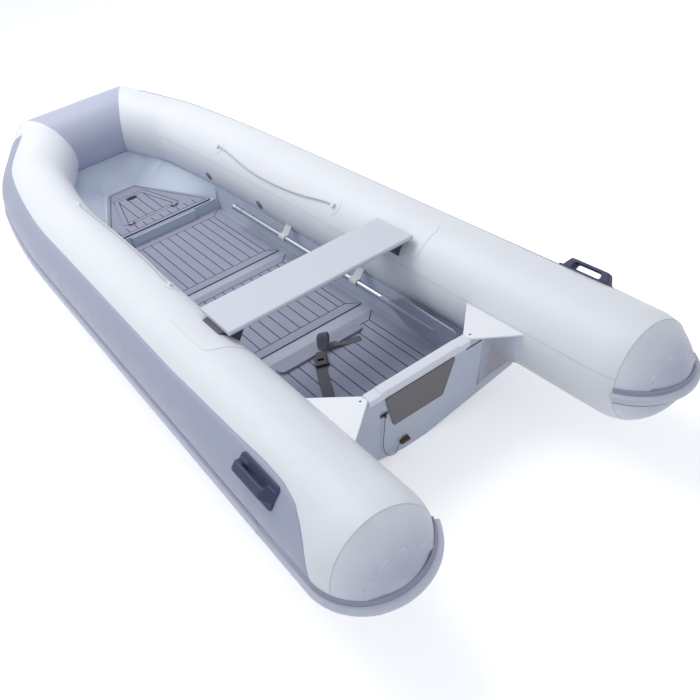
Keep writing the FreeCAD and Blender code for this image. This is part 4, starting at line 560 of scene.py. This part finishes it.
def join_rings(made, rings, slots=None):
    """Quads between closed rings of vertices; slots gives each strip of quads its material slot."""
    for first, second in zip(rings, rings[1:]):
        for index in range(len(first)):
            after = (index + 1) % len(first)
            face = made.faces.new((first[index], first[after], second[after], second[index]))
            if slots:
                face.material_index = slots[index]


def cut_closed(made, point, way):
    """Cuts off what lies past a plane and closes the cut."""
    everything = made.verts[:] + made.edges[:] + made.faces[:]
    bmesh.ops.bisect_plane(made, geom=everything, plane_co=point, plane_no=way, clear_outer=True)
    bmesh.ops.holes_fill(made, edges=[edge for edge in made.edges if edge.is_boundary], sides=0)


def eased(table, at):
    """Straight-line reading of a short table of pairs."""
    for (low, start), (high, end) in zip(table, table[1:]):
        if at <= high:
            return start + (end - start) * max(0.0, (at - low) / (high - low))
    return table[-1][1]


def clamped(share):
    return min(max(share, 0.0), 1.0)


SHARP_ANGLE = math.radians(35)


def sharpened(piece):
    piece.data.set_sharp_from_angle(angle=SHARP_ANGLE)
    return piece


# Stern ends: the tube drawn in, its cone cap gathered round the tip, and the strake wrapped round them
# Distances run aft from the knee line
END_START = 0.30
END_DRAW = 0.478
END_LENGTH = 0.2285
SEAM_SPOT = 0.571
SEAM_TURN = math.asin((SEAM_SPOT - END_DRAW) / END_LENGTH)
SEAM_DIP = 0.0071
TIP_TOP = 0.475
TIP_FOOT = 0.330
TIP_TURN = math.radians(88.5)
CLOSING_POWER = 8
TOP_POWER = 0.8
FOOT_POWER = 2.2
END_STEPS = 120
TUBE_STEPS = 150
DRAW_STEPS = 24
CAP_STEPS = 56
MITRE_OVER = 0.24


def end_section(aft):
    """Half-width, top and foot of a stern end at a distance aft."""
    share = clamped((aft - END_DRAW) / END_LENGTH)
    closing = math.sqrt(1 - share ** CLOSING_POWER)
    past_seam = max(aft - SEAM_SPOT, 0.0) / (END_DRAW + END_LENGTH - SEAM_SPOT)
    before = clamped((aft - END_DRAW) / (SEAM_SPOT - END_DRAW))
    top = TUBE_HEIGHT + TUBE_RADIUS - SEAM_DIP * before ** 2
    top -= (top - TIP_TOP) * past_seam ** TOP_POWER
    foot = TUBE_HEIGHT - TUBE_RADIUS + (TIP_FOOT - TUBE_HEIGHT + TUBE_RADIUS) * share ** FOOT_POWER
    return (TUBE_RADIUS * math.sqrt(1 - share ** 2), TUBE_HEIGHT + (top - TUBE_HEIGHT) * closing,
            TUBE_HEIGHT + (foot - TUBE_HEIGHT) * closing)


# Gathers: the cap steps in at a share of the end's length, with a puckered ridge just ahead of the step
GATHER_SPOT = 0.81
GATHERS = 26
GATHER_AHEAD = 0.012
GATHER_WIDE = 0.016
GATHER_PROUD = 0.0080
GATHER_PUCKER = 0.0062
GATHER_STEP = 0.0105
GATHER_STEP_WIDE = 0.006
GATHER_FADE = 0.14
THIN_HALF = 0.02


def gather_pull(share, angle):
    """How far the gathered fabric is drawn in, on the cap's upper side."""
    pleat = math.sin(angle * GATHERS + 1.7 * math.sin(angle * 3)) + 0.5 * math.sin(angle * 11 + 2)
    past = share - GATHER_SPOT
    ridge = math.exp(-((past + GATHER_AHEAD) / GATHER_WIDE) ** 2) * (GATHER_PROUD + GATHER_PUCKER * pleat)
    pull = GATHER_STEP / (1 + math.exp(-past / GATHER_STEP_WIDE)) - ridge
    return pull * clamped((math.sin(angle) - GATHER_FADE) / GATHER_FADE)


def end_point(side, aft, angle, gathered=False):
    """A point on a stern end, with the angle in radians."""
    half, top, foot = end_section(aft)
    rise = math.sin(angle)
    height = (top - TUBE_HEIGHT) * rise if rise > 0 else (TUBE_HEIGHT - foot) * rise
    point = Vector((half * math.cos(angle), -aft, height))
    if gathered:
        pull = gather_pull((aft - END_DRAW) / END_LENGTH, angle)
        point.x *= 1 - pull / max(half, THIN_HALF)
        point.z *= 1 - pull / max(half, THIN_HALF)
    return Vector(((TUBE_HALF + point.x) * side, KNEE_LINE + point.y, TUBE_HEIGHT + point.z))


def end_rings(made, side, spots, gathered=False):
    """Rings of vertices round a stern end at distances aft."""
    angles = [2 * math.pi * step / END_STEPS for step in range(END_STEPS)]
    return [[made.verts.new(end_point(side, aft, angle, gathered)) for angle in angles] for aft in spots]


# Folds inside the tight bend at the bow: their middle and reach round the tube in degrees, then along it
FOLDS_ANGLE = 172
FOLDS_ROUND = 38
FOLDS_SPOT = 3.22
FOLDS_REACH = 0.16
FOLDS_DEPTH = 0.0015
FOLDS_WIDE = 0.0022
FOLDS_WIDE_PITCH = 72
FOLDS_FINE = 0.0012
FOLDS_FINE_PITCH = 121


def tube_ring(side, along):
    """A ring of the tube; the fabric folds a little inside the tight bend at the bow."""
    spots = []
    for step in range(END_STEPS):
        angle = 360 * step / END_STEPS
        inside = math.exp(-((angle - FOLDS_ANGLE) / FOLDS_ROUND) ** 2)
        inside *= math.exp(-((along - FOLDS_SPOT) / FOLDS_REACH) ** 2)
        folds = FOLDS_DEPTH + FOLDS_WIDE * math.sin(along * FOLDS_WIDE_PITCH)
        folds += FOLDS_FINE * math.sin(along * FOLDS_FINE_PITCH + 1)
        spots.append(on_tube(along, angle, -inside * folds, side)[0])
    return spots


def whole_tube(side):
    """The side tube from its cone seam to the mitred corner at the bow."""
    def build(made):
        length = CORNER_RUN - SEAM_AFT + MITRE_OVER + END_START
        rings = []
        for step in range(TUBE_STEPS + 1):
            spots = tube_ring(side, length * step / TUBE_STEPS - END_START)
            rings.append([made.verts.new(spot) for spot in spots])
        rings.reverse()
        drawn = [END_START + (SEAM_SPOT - END_START) * (step + 1) / DRAW_STEPS for step in range(DRAW_STEPS)]
        rings += end_rings(made, side, drawn)
        join_rings(made, rings)
        made.faces.new(rings[-1])
        point, heading = flat_state(CORNER_RUN)
        corner = path_point(point)
        way = TILT @ Vector((-math.sin(heading), math.cos(heading), 0)) + Vector((-1, 0, 0))
        way.normalize()
        corner.x *= side
        way.x *= side
        cut_closed(made, corner, way)
    return build


def end_cap(side):
    """The cone cap from its seam to the tip."""
    def build(made):
        turns = [SEAM_TURN + (TIP_TURN - SEAM_TURN) * step / CAP_STEPS for step in range(CAP_STEPS + 1)]
        rings = end_rings(made, side, [END_DRAW + END_LENGTH * math.sin(turn) for turn in turns], True)
        join_rings(made, rings)
        made.faces.new(rings[0])
        made.faces.new(rings[-1])
    return build


# The strake alongside is the model's as far as the cut; from there it climbs and wraps round the stern end
STRAKE_CUT = 0.16
STRAKE_TIP_LEVEL = 0.384
STRAKE_SIDE_LEVEL = 0.019
STRAKE_RUN_STEPS = 24
WRAP_STEPS = 72
WRAP_TURN = math.pi - SEAM_TURN
BAND_LIFT = 0.0004
BAND_THICK = 0.005
BAND_EDGE = 0.002
BAND_HALF_SIDE = 0.042
BAND_HALF_END = 0.034
BEAD_SIDE = 0.014
BEAD_ROUND = (0.0182, 0.0135)
BEAD_PROUD = 0.0205
BEAD_FLAT = 0.009
TIP_ROUND = 0.12

# Material slots after the model's own: 1 is the band, 2 the bead and 3 the band's foot, darkened with painted
# shade
STRAKE_SLOTS = (3, 3, 3, 2, 2, 2, 2, 2, 2, 1, 1, 1)


def strake_section(half):
    """The strake's section as (outward, up), from the band's foot over the bead to its top."""
    upper = ((BEAD_PROUD, BEAD_FLAT), BEAD_ROUND, (BEAD_SIDE, BEAD_HALF), (BAND_THICK, BEAD_HALF),
             (BAND_THICK, half - BAND_EDGE), (BAND_LIFT, half))
    return tuple((out, -up) for out, up in reversed(upper)) + upper


def climb_stations():
    """Stations alongside, from the cut to where the end draws in."""
    start = -math.sin(STRAKE_DROP) * TUBE_RADIUS
    end = STRAKE_TIP_LEVEL - STRAKE_SIDE_LEVEL - TUBE_HEIGHT
    stations = []
    for step in range(STRAKE_RUN_STEPS):
        share = step / STRAKE_RUN_STEPS
        level = start + (end - start) * share * share * (3 - 2 * share)
        lean = math.asin(level / TUBE_RADIUS)
        way = Vector((math.cos(lean), 0, math.sin(lean)))
        spot = way * TUBE_RADIUS + Vector((0, -STRAKE_CUT - (END_DRAW - STRAKE_CUT) * share, 0))
        stations.append((spot, way, Vector((-way.z, 0, way.x)), BAND_HALF_SIDE, TUBE_RADIUS))
    return stations


def wrap_stations():
    """Stations round the end, from outboard past the tip to the seam inboard."""
    end = STRAKE_TIP_LEVEL - STRAKE_SIDE_LEVEL - TUBE_HEIGHT
    stations = []
    for step in range(WRAP_STEPS + 1):
        turn = WRAP_TURN * step / WRAP_STEPS
        lean = math.asin(end / TUBE_RADIUS) * max(math.cos(turn), 0.0)
        way = Vector((END_LENGTH * math.cos(turn), -TUBE_RADIUS * math.sin(turn), 0)).normalized()
        up = Vector((0, 0, 1))
        way, up = way * math.cos(lean) + up * math.sin(lean), up * math.cos(lean) - way * math.sin(lean)
        level = STRAKE_TIP_LEVEL - STRAKE_SIDE_LEVEL * math.cos(turn) - TUBE_HEIGHT
        across = math.sqrt(TUBE_RADIUS ** 2 - level ** 2) * math.cos(turn)
        spot = Vector((across, -END_DRAW - END_LENGTH * math.sin(turn), level))
        half = BAND_HALF_SIDE + (BAND_HALF_END - BAND_HALF_SIDE) * math.sin(min(turn, math.pi / 2))
        stations.append((spot, way, up, half, TUBE_RADIUS + (TIP_ROUND - TUBE_RADIUS) * math.sin(turn)))
    return stations


def end_strake(side, name):
    """The model's strake ahead of the cut and, aft of it, a section swept over the stations.

    A station holds a point on the skin, its outward way, its up way, half the band's width and the
    skin's round there, which the section follows.
    """
    def build(made):
        made.from_mesh(NODES[name].data)
        cut_closed(made, (0, KNEE_LINE - STRAKE_CUT, 0), (0, -1, 0))
        rows = []
        for point, way, up, half, skin_round in climb_stations() + wrap_stations():
            row = []
            for out, rise in strake_section(half):
                spot = point + way * (out - rise * rise / (2 * skin_round)) + up * rise
                place = ((TUBE_HALF + spot.x) * side, KNEE_LINE + spot.y, TUBE_HEIGHT + spot.z)
                row.append(made.verts.new(place))
            rows.append(row)
        join_rings(made, rows, STRAKE_SLOTS)
        for row in (rows[0], rows[-1]):
            made.faces.new(row).material_index = 1
    return build


for label, side in SIDES:
    tube = mesh_piece(f"tube_skin_{label}", whole_tube(side), tube_white)
    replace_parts(sharpened(tube), f"tube_{label}")
    cap = mesh_piece(f"cone_cap_{label}", end_cap(side), tube_cone)
    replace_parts(sharpened(cap), f"cone_{label}")
    wrap = mesh_piece(f"strake_skin_{label}", end_strake(side, f"strake_{label}"), strake_side)
    for finish in (strake_flange, strake_bead, strake_foot_shade):
        wrap.data.materials.append(finish)
    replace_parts(sharpened(wrap), f"strake_{label}")


# Side panels of lavender fabric between the strake and a line along the tube, curved down at the aft end
# Each pair: ahead of the knee line, the top edge's angle in degrees
PANEL_TOP = ((-0.492, 0.2), (-0.475, 15), (-0.44, 31), (-0.40, 42), (-0.33, 53), (-0.24, 58), (-0.12, 59),
             (0.10, 57), (0.60, 54), (1.40, 55), (2.30, 56), (3.00, 61), (3.45, 67), (3.80, 74))
PANEL_FOOT = -0.4
PANEL_SHORT = 0.10
PANEL_SPREAD = 1.25
PANEL_STEPS = 96
PANEL_ROWS = 12
SKIN = 0.0008
SKIN_GAP = 0.0003


def side_panel(side):
    """The panel's steps are closer together at its curved aft end."""
    def build(made):
        start = PANEL_TOP[0][0]
        end = CORNER_RUN - SEAM_AFT - PANEL_SHORT
        rows = []
        for step in range(PANEL_STEPS + 1):
            along = start + (end - start) * (step / PANEL_STEPS) ** PANEL_SPREAD
            tall = eased(PANEL_TOP, along) - PANEL_FOOT
            rows.append([on_tube(along, PANEL_FOOT + tall * row / PANEL_ROWS, SKIN_GAP, side)
                         for row in range(PANEL_ROWS + 1)])
        skin(made, rows, SKIN)
    return build


for label, side in SIDES:
    mesh_piece(f"side_panel_{label}", side_panel(side), panel_lavender)


# Seam tapes: round the cone seam and along the inside of each tube, their angles in degrees
CONE_TAPE = (1, 334)
CONE_TAPE_WIDE = 0.003
CONE_TAPE_STEPS = 64
INNER_TAPE_ANGLE = 158
INNER_TAPE_END = 3.2
INNER_TAPE_WIDE = 0.002
INNER_TAPE_STEPS = 80
DRAW_TAPE_STEPS = 12


def cone_tape(side):
    """A narrow ring over the seam between tube and cone."""
    def build(made):
        start, end = CONE_TAPE
        rows = []
        for step in range(CONE_TAPE_STEPS + 1):
            angle = math.radians(start + (end - start) * step / CONE_TAPE_STEPS)
            way = Vector((math.cos(angle) * side, 0, math.sin(angle)))
            rows.append([(end_point(side, SEAM_SPOT + across, angle), way)
                         for across in (-CONE_TAPE_WIDE / 2, 0, CONE_TAPE_WIDE / 2)])
        skin(made, rows, SKIN)
    return build


def inner_tape(side):
    """A narrow strip along the inside of the tube, from the cone seam ahead."""
    half = math.degrees(INNER_TAPE_WIDE / 2 / TUBE_RADIUS)
    turns = [INNER_TAPE_ANGLE + turn for turn in (-half, 0, half)]
    middle = math.radians(INNER_TAPE_ANGLE)
    way = Vector((math.cos(middle) * side, 0, math.sin(middle)))

    def build(made):
        rows = []
        for step in range(DRAW_TAPE_STEPS):
            aft = SEAM_SPOT + (END_DRAW - SEAM_SPOT) * step / DRAW_TAPE_STEPS
            rows.append([(end_point(side, aft, math.radians(turn)), way) for turn in turns])
        for step in range(INNER_TAPE_STEPS + 1):
            along = (INNER_TAPE_END + END_DRAW) * step / INNER_TAPE_STEPS - END_DRAW
            rows.append([on_tube(along, turn, SKIN_GAP, side) for turn in turns])
        skin(made, rows, SKIN / 2)
    return build


for label, side in SIDES:
    mesh_piece(f"cone_seam_{label}", cone_tape(side), seam_tape)
    mesh_piece(f"inner_seam_{label}", inner_tape(side), seam_tape)


# Painted shade: a dark sheet over the inside of the transom's slot, with its distances up along the leaning
# board
SLOT_INNER = 0.231
SLOT_OUTER = 0.311
SLOT_SPOT = 0.4303
SLOT_HALF = 0.0045
SLOT_SINK = 0.0004


def slot_shade(made):
    way = Vector((0, -math.cos(RAKE), -math.sin(RAKE)))
    foot = KNEE_LINE + TRANSOM_FOOT
    rows = []
    for across in (SLOT_INNER, (SLOT_INNER + SLOT_OUTER) / 2, SLOT_OUTER):
        spots = [Vector((across, foot - up * math.sin(RAKE), up * math.cos(RAKE)))
                 for up in (SLOT_SPOT - SLOT_HALF, SLOT_SPOT, SLOT_SPOT + SLOT_HALF)]
        rows.append([(spot - way * SLOT_SINK, way) for spot in spots])
    skin(made, rows, SKIN)


mesh_piece("slot_shade", slot_shade, slot_shade_dark)


# Webs under the knees: fabric that curves from the transom's aft face into the tube's side
WEB_REACH = 0.118
WEB_TOP = 0.4560
WEB_FOOT_INNER = 0.120
WEB_FOOT_OUTER = 0.275
WEB_THICK = 0.0008
WEB_GAP = 0.0003
WEB_STEPS = 20
WEB_LEVELS = 12
WEB_DEEPEST = TUBE_RADIUS * math.sqrt(0.9)


def web(side):
    """A quarter ellipse at each level, between the transom's leaning face and the tube's side."""
    def build(made):
        rows = []
        for step in range(WEB_STEPS + 1):
            turn = math.pi / 2 * step / WEB_STEPS
            foot = WEB_FOOT_INNER + (WEB_FOOT_OUTER - WEB_FOOT_INNER) * step / WEB_STEPS
            back = WEB_REACH * (1 - math.cos(turn)) + WEB_GAP
            row = []
            for level in range(WEB_LEVELS + 1):
                height = WEB_TOP + (foot - WEB_TOP) * level / WEB_LEVELS
                drop = min(abs(height - TUBE_HEIGHT), WEB_DEEPEST)
                wide = TUBE_HALF - math.sqrt(TUBE_RADIUS ** 2 - drop ** 2) - WEB_INNER
                across = WEB_INNER + (wide - WEB_GAP) * math.sin(turn)
                way = Vector((-WEB_REACH * math.sin(turn) * side, -wide * math.cos(turn), 0))
                face = KNEE_LINE + TRANSOM_FOOT - height * math.tan(RAKE)
                row.append((Vector((across * side, face - back, height)), way.normalized()))
            rows.append(row)
        skin(made, rows, WEB_THICK)
    return build


for label, side in SIDES:
    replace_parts(mesh_piece(f"knee_web_{label}", web(side), wing_grey), f"wing_{label}")


# Dark bolts in the knees' holes; the profile is (share of the radius, drop below the top)
BOLT_SIDE = 0.266
BOLT_TOP = 0.4600
BOLT_RADIUS = 0.0062
BOLT_PROFILE = ((1.0, 0.005), (1.0, 0.0012), (0.85, 0.0003), (0.45, 0.0))
BOLT_STEPS = 24


def bolt(side):
    def build(made):
        turns = [2 * math.pi * step / BOLT_STEPS for step in range(BOLT_STEPS)]
        rings = []
        for share, drop in BOLT_PROFILE:
            radius = BOLT_RADIUS * share
            rings.append([made.verts.new((BOLT_SIDE * side + radius * math.cos(turn),
                                          KNEE_LINE + radius * math.sin(turn), BOLT_TOP - drop))
                          for turn in turns])
        join_rings(made, rings)
        made.faces.new(rings[0])
        made.faces.new(rings[-1])
    return build


for label, side in SIDES:
    mesh_piece(f"knee_bolt_{label}", bolt(side), black_nylon)


# The tank strap: a band along the deck pad to the buckle, a loop that stands up there and a loose tail
# Each point: across, ahead of the knee line, height; each way is the webbing's width
STRAP_BAND = ((-0.188, 0.425, 0.1270), (-0.156, 0.487, 0.1270), (-0.128, 0.553, 0.1272),
              (-0.102, 0.613, 0.1272), (-0.078, 0.661, 0.1275), (-0.054, 0.699, 0.1300),
              (-0.034, 0.730, 0.1350), (-0.016, 0.752, 0.1440))
STRAP_BAND_WAY = Vector((0.9, -0.4, 0))
STRAP_LOOP = ((-0.010, 0.757, 0.1450), (0.002, 0.766, 0.1560), (0.014, 0.777, 0.1760), (0.024, 0.787, 0.1930),
              (0.033, 0.796, 0.2010), (0.041, 0.803, 0.1990), (0.043, 0.804, 0.1900), (0.036, 0.797, 0.1740),
              (0.024, 0.785, 0.1570), (0.016, 0.777, 0.1445))
STRAP_LOOP_HALF = (0.018, 0.024, 0.029, 0.029, 0.022, 0.019, 0.024, 0.028, 0.026, 0.020)
STRAP_LOOP_WAY = Vector((0.80, -0.55, 0.15))
STRAP_TAIL = ((0.022, 0.771, 0.1430), (0.050, 0.764, 0.1425), (0.078, 0.756, 0.1400), (0.104, 0.746, 0.1330),
              (0.132, 0.735, 0.1285), (0.160, 0.726, 0.1275), (0.188, 0.7165, 0.1285))
STRAP_TAIL_WAY = Vector((0.3, 0.95, 0))
STRAP_HALF = 0.027
STRAP_TAIL_HALF = STRAP_HALF * 0.85
STRAP_THICK = 0.0024
STRAP_COLUMNS = (-1, -0.5, 0, 0.5, 1)


def ribbon(route, across, halves):
    """Webbing along a route, with its width near one way and half of it given at each point."""
    def build(made):
        spots = [Vector((x, KNEE_LINE + ahead, z)) for x, ahead, z in route]
        rows = []
        for index, spot in enumerate(spots):
            before = spots[max(index - 1, 0)]
            after = spots[min(index + 1, len(spots) - 1)]
            run = (after - before).normalized()
            side = (across - run * across.dot(run)).normalized()
            way = side.cross(run).normalized()
            rows.append([(spot + side * halves[index] * share, way) for share in STRAP_COLUMNS])
        skin(made, rows, STRAP_THICK)
    return build


def strap_piece(name, route, across, halves):
    piece = mesh_piece(name, ribbon(route, across, halves), dark_web)
    smooth = piece.modifiers.new("smooth", "SUBSURF")
    smooth.levels = 2
    smooth.render_levels = 2
    return piece


band = strap_piece("strap_band", STRAP_BAND, STRAP_BAND_WAY, [STRAP_HALF] * len(STRAP_BAND))
loop = strap_piece("strap_loop", STRAP_LOOP, STRAP_LOOP_WAY, STRAP_LOOP_HALF)
tail = strap_piece("strap_tail", STRAP_TAIL, STRAP_TAIL_WAY, [STRAP_TAIL_HALF] * len(STRAP_TAIL))
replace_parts(band, "tank_strap")


# Grab ropes and the drain's lanyard: smooth splines over the model's routes
# Each point of a grab rope: inboard of the tube's straight centre line, ahead of the knee line, height
GRAB_ROPE = (
    (0.1484, 1.2170, 0.5558),
    (0.1484, 1.2634, 0.5558),
    (0.1555, 1.3474, 0.5475),
    (0.1660, 1.4484, 0.5370),
    (0.1730, 1.5624, 0.5290),
    (0.1770, 1.6684, 0.5235),
    (0.1795, 1.7824, 0.5200),
    (0.1800, 1.8904, 0.5195),
    (0.1785, 1.9984, 0.5228),
    (0.1739, 2.0984, 0.5288),
    (0.1663, 2.1994, 0.5377),
    (0.1580, 2.2994, 0.5470),
    (0.1505, 2.4026, 0.5568),
    (0.1524, 2.4539, 0.5577),
)
# Each point of the lanyard: across, ahead of the knee line, height
LANYARD = (
    (-0.1730, 0.0074, 0.3153),
    (-0.1730, 0.0184, 0.2766),
    (-0.1755, 0.0326, 0.2245),
    (-0.1780, 0.0481, 0.1707),
    (-0.1760, 0.0636, 0.1169),
    (-0.1670, 0.0768, 0.0686),
    (-0.1490, 0.0864, 0.0360),
    (-0.1240, 0.0901, 0.0194),
    (-0.1040, 0.0872, 0.0259),
    (-0.1060, 0.0815, 0.0461),
    (-0.1020, 0.0756, 0.0670),
    (-0.0850, 0.0756, 0.0670),
)


def cord_curve(name, points, diameter, finish):
    curve = bpy.data.curves.new(name, "CURVE")
    curve.dimensions = "3D"
    curve.bevel_depth = diameter / 2
    curve.bevel_resolution = 4
    curve.resolution_u = 8
    spline = curve.splines.new("NURBS")
    spline.points.add(len(points) - 1)
    for held, point in zip(spline.points, points):
        held.co = (*point, 1)
    spline.order_u = 3
    spline.use_endpoint_u = True
    curve.use_fill_caps = True
    return shown(name, curve, finish)


for label, side in SIDES:
    route = [((TUBE_HALF - inset) * side, KNEE_LINE + ahead, height) for inset, ahead, height in GRAB_ROPE]
    rope = cord_curve(f"grab_rope_{label}", route, GRAB_ROPE_THICK, rope_white)
    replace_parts(rope, f"rope_{label}")
route = [(across, KNEE_LINE + ahead, height) for across, ahead, height in LANYARD]
lanyard = cord_curve("lanyard", route, LANYARD_THICK, line_dark)
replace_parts(lanyard, "drain_lanyard")


# Camera at the photo's place, found by fitting the tubes, knees, transom and seat; its turns are radians
CAMERA_AT = Vector((-1.286, KNEE_LINE - 1.96, 2.341))
YAW = 0.482
PITCH = 0.6393
ROLL = -0.2204
LENS = 41.09
SENSOR = 36


def camera():
    ahead = Vector((math.sin(YAW) * math.cos(PITCH), math.cos(YAW) * math.cos(PITCH), -math.sin(PITCH)))
    right = Vector((math.cos(YAW), -math.sin(YAW), 0))
    up = right.cross(ahead)
    rolled_right = right * math.cos(ROLL) + up * math.sin(ROLL)
    rolled_up = up * math.cos(ROLL) - right * math.sin(ROLL)
    data = bpy.data.cameras.new("camera")
    data.lens = LENS
    data.sensor_width = SENSOR
    seen = bpy.data.objects.new("camera", data)
    bpy.context.collection.objects.link(seen)
    turn = Matrix((rolled_right, rolled_up, -ahead)).transposed()
    seen.matrix_world = Matrix.Translation(CAMERA_AT) @ turn.to_4x4()
    bpy.context.scene.camera = seen


# Stage and lights: a pale floor and a white surround, as in the photo
FLOOR_REACH = 40.0
FLOOR_GLOW = 0.42
SKY_COLOUR = (0.90, 0.93, 1.0, 1)
SKY_STRENGTH = 0.60


def seen_by(tree):
    """1 for what the camera sees straight, in a mirror or through glass."""
    rays = tree.nodes.new("ShaderNodeLightPath")
    seen = rays.outputs["Is Camera Ray"]
    for ray in ("Is Glossy Ray", "Is Transmission Ray"):
        most = tree.nodes.new("ShaderNodeMath")
        most.operation = "MAXIMUM"
        tree.links.new(seen, most.inputs[0])
        tree.links.new(rays.outputs[ray], most.inputs[1])
        seen = most.outputs[0]
    return seen


def stage():
    """A pale floor under the keel."""
    mesh = bpy.data.meshes.new("floor")
    corners = [(-FLOOR_REACH, -FLOOR_REACH, 0), (FLOOR_REACH, -FLOOR_REACH, 0),
               (FLOOR_REACH, FLOOR_REACH, 0), (-FLOOR_REACH, FLOOR_REACH, 0)]
    mesh.from_pydata(corners, [], [(0, 1, 2, 3)])
    floor = bpy.data.objects.new("floor", mesh)
    bpy.context.collection.objects.link(floor)
    material, principled = shader("floor_pale", (0.92, 0.92, 0.925), 0.9)
    tint(material, principled, noise(material, scale=0.6, detail=2), (0.91, 0.91, 0.915), (0.93, 0.93, 0.935))
    principled.inputs["Emission Color"].default_value = (1, 1, 1, 1)
    glow = maths(material, "MULTIPLY", seen_by(material.node_tree), FLOOR_GLOW)
    join(material, glow, principled.inputs["Emission Strength"])
    mesh.materials.append(material)


def area_light(name, spot, aim, size, power, colour):
    data = bpy.data.lights.new(name, "AREA")
    data.shape = "DISK"
    data.size = size
    data.energy = power
    data.color = colour
    lamp = bpy.data.objects.new(name, data)
    bpy.context.collection.objects.link(lamp)
    lamp.location = spot
    lamp.rotation_euler = (Vector(aim) - Vector(spot)).to_track_quat("-Z", "Y").to_euler()


def surround():
    """A dim sky that lights the boat, and plain white where the camera looks past it."""
    world = bpy.data.worlds.new("studio")
    world.use_nodes = True
    nodes = world.node_tree.nodes
    links = world.node_tree.links
    sky = nodes["Background"]
    sky.inputs["Color"].default_value = SKY_COLOUR
    sky.inputs["Strength"].default_value = SKY_STRENGTH
    white = nodes.new("ShaderNodeBackground")
    white.inputs["Color"].default_value = (1, 1, 1, 1)
    mix = nodes.new("ShaderNodeMixShader")
    links.new(seen_by(world.node_tree), mix.inputs[0])
    links.new(sky.outputs[0], mix.inputs[1])
    links.new(white.outputs[0], mix.inputs[2])
    links.new(mix.outputs[0], nodes["World Output"].inputs["Surface"])
    bpy.context.scene.world = world


camera()
stage()
area_light("sky_key", spot=(-0.6, 2.4, 5.5), aim=(0, 0, 0.3), size=5.0, power=205,
           colour=(1.0, 0.99, 0.97))
area_light("fill_aft", spot=(-2.5, -5.5, 3.0), aim=(0, -0.5, 0.3), size=4.0, power=22,
           colour=(0.93, 0.96, 1.0))
surround()
view = bpy.context.scene.view_settings
view.view_transform = "Standard"
view.look = "None"
